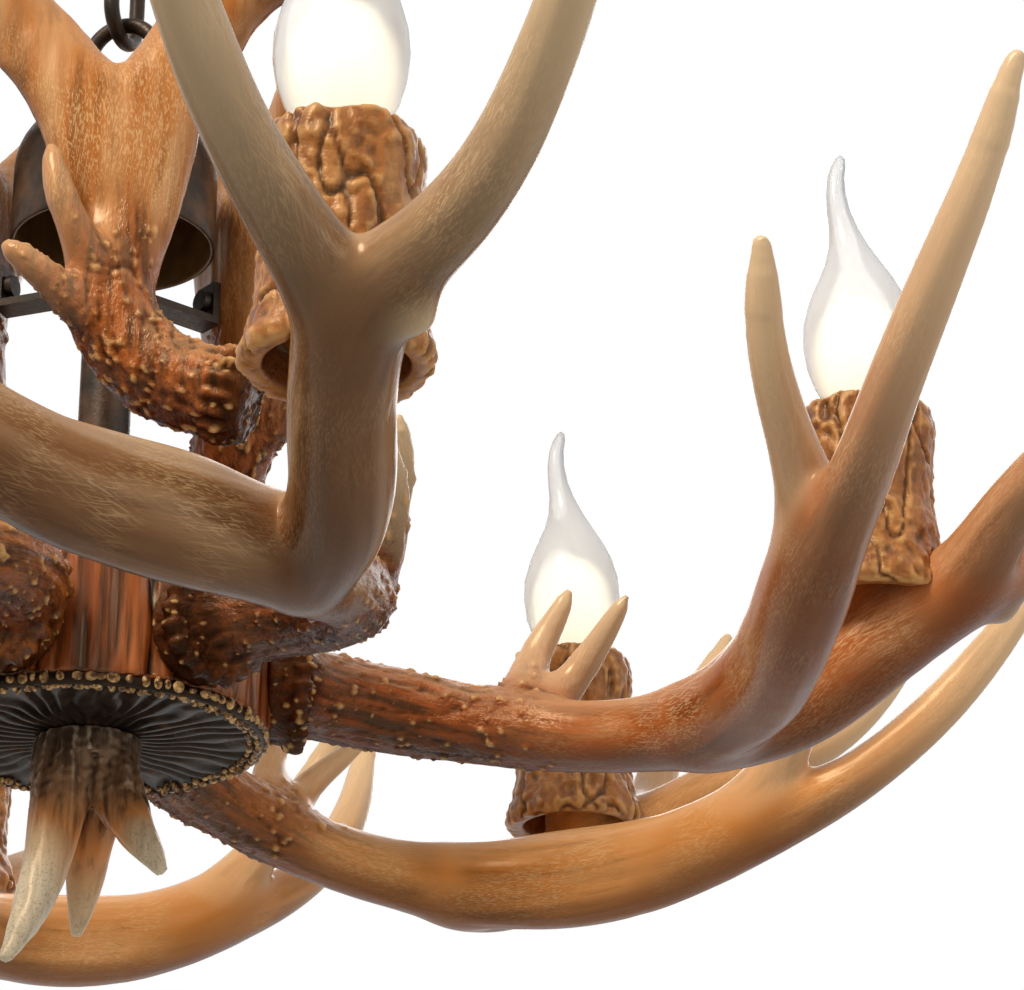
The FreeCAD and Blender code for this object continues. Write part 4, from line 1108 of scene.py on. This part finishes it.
def carve_finial(piece):
    """Groove the crown and flute the tines of the finial."""
    mesh = piece.data
    relaxed(mesh, 5)
    points = points_of(mesh)
    normals = normals_of(mesh)
    low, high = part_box("finial")
    reach = (high[2] - points[:, 2]) / (high[2] - low[2])
    reach += 0.30 * eased(np.linalg.norm(points[:, :2], axis=1), 0.015, 0.028) * eased(reach, 0.25, 0.45)
    flutes = noise_at(points, 330.0, FINIAL_SEED, 0.16)
    warts = noise_at(points, 520.0, FINIAL_SEED + 1)
    crown = 1.0 - eased(reach, 0.22, 0.42)
    relief = flutes * (0.35 + crown) + 0.35 * warts * crown
    side = eased(np.linalg.norm(normals[:, :2], axis=1), 0.3, 0.7)
    points = raised(mesh, points, normals, 0.0011 * side * relief)
    crest, hollow = crests_and_hollows(mesh, points)
    put_tone(mesh, crest * crown, hollow * (0.3 + 0.7 * crown), np.clip(reach, 0.0, 1.0))


class CHANDELIER_OT_finial(bpy.types.Operator):
    """Carve the three-tined finial under the hub"""
    bl_idname = "chandelier.finial"
    bl_label = "Finial"

    def execute(self, context):
        piece = skin_of("finial", "carved_finial", FINIAL_SKIN)
        carve_finial(piece)
        hand_over(piece, finial_finish(), "finial")
        return {"FINISHED"}


# ---- bell, stem, chain and fasteners
BELL_WALL = 0.0015
BELL_HOLE = 0.0051
SHOULDER_RADIUS = 0.0185        # of the round between the bell's top and its skirt
SHOULDER_DROP = 0.0245          # of that round's centre below the top
SHOULDER_STEPS = 7
SHOULDER_TURN = 62.0            # degrees of that round


def bell_outline():
    """Closed outline of the bell's wall: a rounded shoulder, a straight skirt and a rolled rim."""
    low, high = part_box("bell_cap")
    radius, top, bottom = high[0], high[2], low[2]
    outer = [(BELL_HOLE, top), (0.0100, top), (0.0145, top - 0.0010), (0.0195, top - 0.0038)]
    for step in range(1, SHOULDER_STEPS + 1):
        angle = math.radians(SHOULDER_TURN - step * SHOULDER_TURN / SHOULDER_STEPS)
        outer.append((
            radius - SHOULDER_RADIUS + SHOULDER_RADIUS * math.cos(angle),
            top - SHOULDER_DROP + SHOULDER_RADIUS * math.sin(angle) * 1.05))
    outer += [(radius, bottom + 0.004), (radius, bottom + 0.0006), (radius - 0.0004, bottom)]
    inner = [(radius - BELL_WALL + 0.0003, bottom), (radius - BELL_WALL, bottom + 0.0008)]
    for distance, height in reversed(outer[:-3]):
        inner.append((max(distance - BELL_WALL, BELL_HOLE), height - 0.0012))
    return outer + inner


class CHANDELIER_OT_bell_and_stem(bpy.types.Operator):
    """Turn the bell and finish the stem"""
    bl_idname = "chandelier.bell_and_stem"
    bl_label = "Bell and stem"

    def execute(self, context):
        bronze = tuple(context.scene.stain_colours.bronze)
        bell = piece_from("turned_bell", turned(bell_outline(), 160))
        outward, _ = outward_share(points_of(bell.data), normals_of(bell.data))
        # mask of the bell's inside, which gets painted light
        put_values(bell.data, "inside", (outward < 0.0).astype(float))
        hand_over(bell, bronze_finish("bell_bronze", bronze, 0.5), "bell_cap")
        dress_node("stem_pipe", bronze_finish("stem_bronze", bronze, 0.35))
        return {"FINISHED"}


class CHANDELIER_OT_metalwork(bpy.types.Operator):
    """Finish the canopy, chain, loops, lampholders and fasteners"""
    bl_idname = "chandelier.metalwork"
    bl_label = "Metalwork"

    def execute(self, context):
        bronze = bronze_finish("chain_bronze", tuple(context.scene.stain_colours.bronze), 0.25)
        finishes = {
            "bronze_paint": bronze,
            "zinc_steel": plain_metal("zinc_plate", (0.52, 0.51, 0.47), 0.38),
            "lamp_cap_metal": plain_metal("cap_brass", (0.70, 0.55, 0.30), 0.28),
            "insulator": insulator_finish(),
        }
        for item in frame["record"]["subparts"]:
            node, slot = item["node"], item["material_slot"]
            if node in ("stem_nuts", "upper_bracket", "upper_screws"):
                dress_node(node, bronze)
            elif slot in finishes and node not in ("bell_cap", "stem_pipe"):
                dress_node(node, finishes[slot])
        return {"FINISHED"}


# ---- lamps
# Outline of a candle lamp: height above its cap, radius, lean of the tip, in millimetres.
LAMP_STATIONS = [
    (0, 7.4, 0), (3, 8.4, 0), (8, 11.2, 0), (14, 14.2, 0), (20, 16.3, 0), (27, 17.4, 0), (34, 17.2, 0),
    (41, 15.6, 0), (48, 12.6, 0.2), (54, 9.4, 0.8), (60, 6.6, 2.0), (66, 4.7, 3.6), (72, 3.7, 5.2),
    (78, 3.1, 6.0), (84, 2.7, 5.8), (88, 2.4, 4.8), (91, 1.7, 4.0), (92.2, 0.7, 3.8),
]
LAMP_LEAN = 200.0               # compass direction in which the bent tips lean, degrees
LAMP_SIDES = 40
GLASS_HEAT = (0.024, 0.021)     # height of the brightest ring of the glass, and how far its light spreads
CORE_HEIGHT = 0.0235            # of the glowing core's centre above the cap
CORE_SIZE = (0.0125, 0.0125, 0.0190)


def lamp_shell(name, base):
    """Closed skin of circles about a centre line that leans over at the tip."""
    lean = Vector((math.cos(math.radians(LAMP_LEAN)), math.sin(math.radians(LAMP_LEAN)), 0.0))
    bm = bmesh.new()
    for height, radius, offset in LAMP_STATIONS:
        made = bmesh.ops.create_circle(bm, segments=LAMP_SIDES, radius=radius * MM)
        centre = base + lean * (offset * MM) + Vector((0.0, 0.0, height * MM))
        bmesh.ops.translate(bm, vec=centre, verts=made["verts"])
    bmesh.ops.bridge_loops(bm, edges=bm.edges[:])
    bmesh.ops.holes_fill(bm, edges=bm.edges[:])
    piece = piece_from(name, bm)
    level, spread = GLASS_HEAT
    rise = (points_of(piece.data)[:, 2] - base.z - level) / spread
    put_values(piece.data, "heat", np.exp(-rise ** 2))
    return piece


def lamp_glow(name, base):
    """The bright core inside the glass, with its own heat attribute."""
    centre = base + Vector((0.0, 0.0, CORE_HEIGHT))
    bm = bmesh.new()
    bmesh.ops.create_uvsphere(bm, u_segments=32, v_segments=20, radius=1.0)
    bmesh.ops.transform(bm, matrix=Matrix.LocRotScale(centre, None, Vector(CORE_SIZE)), verts=bm.verts)
    piece = piece_from(name, bm)
    rise = np.abs(points_of(piece.data)[:, 2] - centre.z) / CORE_SIZE[2]
    put_values(piece.data, "heat", 1.0 - np.clip(rise, 0.0, 1.0) ** 2)
    return piece


class CHANDELIER_OT_lamps(bpy.types.Operator):
    """Blow the six candle lamps and light them"""
    bl_idname = "chandelier.lamps"
    bl_label = "Candle lamps"

    def execute(self, context):
        glass = lamp_glass_finish()
        glow = glow_finish()
        for number in range(1, ARMS + 1):
            low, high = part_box("lamp_cap_%d" % number)
            base = Vector(((low[0] + high[0]) / 2, (low[1] + high[1]) / 2, high[2]))
            body = "lamp_%d" % number
            shell = lamp_shell("candle_lamp_%d" % number, base)
            hand_over(shell, glass, "lamp_glass_%d" % number, body)
            hand_over(lamp_glow("lamp_core_%d" % number, base), glow, body=body)
        return {"FINISHED"}


# ---- stage
def sees_white(tree):
    """1 for the camera's rays and for those in gloss and through glass, and 0 for the rest."""
    rays = add_node(tree, "ShaderNodeLightPath")
    seen = math_node(tree, "MAXIMUM", rays.outputs["Is Camera Ray"], rays.outputs["Is Transmission Ray"])
    return math_node(tree, "MAXIMUM", seen, rays.outputs["Is Glossy Ray"])


def floor_finish():
    """Pale matte floor that those rays see as white, with a trace of the object's shadow."""
    material, tree, shader = new_finish("pale_floor")
    set_shader(shader, Base_Color=(0.86, 0.86, 0.85), Roughness=0.9)
    white = add_node(tree, "ShaderNodeEmission", {"Color": (1.0, 1.0, 1.0, 1.0), "Strength": 1.0})
    share = product(tree, sees_white(tree), 0.95)
    blend = add_node(tree, "ShaderNodeMixShader", {0: share, 1: shader.outputs[0], 2: white.outputs[0]})
    fill_socket(tree.nodes["Material Output"].inputs["Surface"], blend.outputs[0])
    return material


def add_camera():
    yaw, pitch, roll = (math.radians(angle) for angle in (CAMERA_YAW, CAMERA_PITCH, CAMERA_ROLL))
    forward = Vector((math.sin(yaw) * math.cos(pitch), math.cos(yaw) * math.cos(pitch), math.sin(pitch)))
    right = Vector((math.cos(yaw), -math.sin(yaw), 0.0))
    up = right.cross(forward)
    turned_right = right * math.cos(roll) + up * math.sin(roll)
    turned_up = turned_right.cross(forward)
    matrix = Matrix((turned_right, turned_up, -forward)).transposed().to_4x4()
    matrix.translation = Vector(CAMERA_PLACE)
    data = bpy.data.cameras.new("photo_camera")
    data.sensor_fit = "HORIZONTAL"
    data.sensor_width = SENSOR_WIDTH
    data.lens = CAMERA_LENS
    data.clip_start = 0.05
    data.clip_end = 50.0
    camera = new_object("photo_camera", data)
    camera.matrix_world = matrix
    bpy.context.scene.camera = camera


def add_area_light(name, place, size, power, colour):
    data = bpy.data.lights.new(name, "AREA")
    data.shape = "DISK"
    data.size = size
    data.energy = power
    data.color = colour
    lamp = new_object(name, data)
    lamp.location = place
    lamp.rotation_euler = (Vector(STAGE_CENTRE) - Vector(place)).to_track_quat("-Z", "Y").to_euler()


def white_world(level):
    """White to the rays that see it, and a plain even light on the object."""
    world = bpy.data.worlds.new("studio")
    bpy.context.scene.world = world
    world.use_nodes = True
    tree = world.node_tree
    tree.nodes.clear()
    dim = add_node(tree, "ShaderNodeBackground", {"Color": (1.0, 1.0, 1.0, 1.0), "Strength": level})
    white = add_node(tree, "ShaderNodeBackground", {"Color": (1.0, 1.0, 1.0, 1.0), "Strength": 1.0})
    seen = sees_white(tree)
    blend = add_node(tree, "ShaderNodeMixShader", {0: seen, 1: dim.outputs[0], 2: white.outputs[0]})
    add_node(tree, "ShaderNodeOutputWorld", {"Surface": blend.outputs[0]})


class CHANDELIER_OT_stage(bpy.types.Operator):
    """Set the floor, the lights and the photograph's camera"""
    bl_idname = "chandelier.stage"
    bl_label = "Stage"

    def execute(self, context):
        settings = context.scene.stage_settings
        add_camera()
        bm = bmesh.new()
        bmesh.ops.create_grid(bm, x_segments=1, y_segments=1, size=FLOOR_HALF_WIDTH)
        bmesh.ops.translate(bm, vec=(0.0, 0.0, settings.floor_drop), verts=bm.verts)
        floor = piece_from("floor", bm, smooth=False)
        dress(floor, floor_finish())
        add_area_light("key", (-1.0, -1.3, 1.2), 0.9, settings.key_power, (1.0, 0.94, 0.86))
        add_area_light("fill", (1.6, -1.2, -0.1), 1.4, settings.fill_power, (0.95, 0.97, 1.0))
        add_area_light("back", (0.6, 1.6, 0.5), 1.2, settings.fill_power, (1.0, 1.0, 1.0))
        white_world(settings.world_level)
        bpy.context.scene.view_settings.view_transform = "Standard"
        return {"FINISHED"}


class CHANDELIER_PT_panel(bpy.types.Panel):
    """Steps that dress the chandelier, in order"""
    bl_idname = "CHANDELIER_PT_panel"
    bl_label = "Chandelier"
    bl_space_type = "VIEW_3D"
    bl_region_type = "UI"
    bl_category = "Chandelier"

    def draw(self, context):
        layout = self.layout
        for operator in OPERATORS:
            layout.operator(operator.bl_idname)
        for group in (context.scene.antler_sizes, context.scene.cup_sizes, context.scene.stain_colours,
                      context.scene.stage_settings):
            box = layout.box()
            for name in group.bl_rna.properties.keys():
                if name not in ("rna_type", "name"):
                    box.prop(group, name)


OPERATORS = (
    CHANDELIER_OT_stage,
    CHANDELIER_OT_arm_antlers,
    CHANDELIER_OT_upper_antlers,
    CHANDELIER_OT_candle_cups,
    CHANDELIER_OT_hub,
    CHANDELIER_OT_finial,
    CHANDELIER_OT_bell_and_stem,
    CHANDELIER_OT_metalwork,
    CHANDELIER_OT_lamps,
)
GROUPS = (AntlerSizes, CupSizes, StainColours, StageSettings)


def register():
    for item in GROUPS + OPERATORS + (CHANDELIER_PT_panel,):
        bpy.utils.register_class(item)
    bpy.types.Scene.antler_sizes = PointerProperty(type=AntlerSizes)
    bpy.types.Scene.cup_sizes = PointerProperty(type=CupSizes)
    bpy.types.Scene.stain_colours = PointerProperty(type=StainColours)
    bpy.types.Scene.stage_settings = PointerProperty(type=StageSettings)


def unregister():
    for name in ("antler_sizes", "cup_sizes", "stain_colours", "stage_settings"):
        delattr(bpy.types.Scene, name)
    for item in reversed(GROUPS + OPERATORS + (CHANDELIER_PT_panel,)):
        bpy.utils.unregister_class(item)


def main():
    register()
    bpy.ops.chandelier.stage()
    bpy.ops.chandelier.arm_antlers()
    bpy.ops.chandelier.upper_antlers()
    bpy.ops.chandelier.candle_cups()
    bpy.ops.chandelier.hub()
    bpy.ops.chandelier.finial()
    bpy.ops.chandelier.bell_and_stem()
    bpy.ops.chandelier.metalwork()
    bpy.ops.chandelier.lamps()


if __name__ == "__main__":
    main()
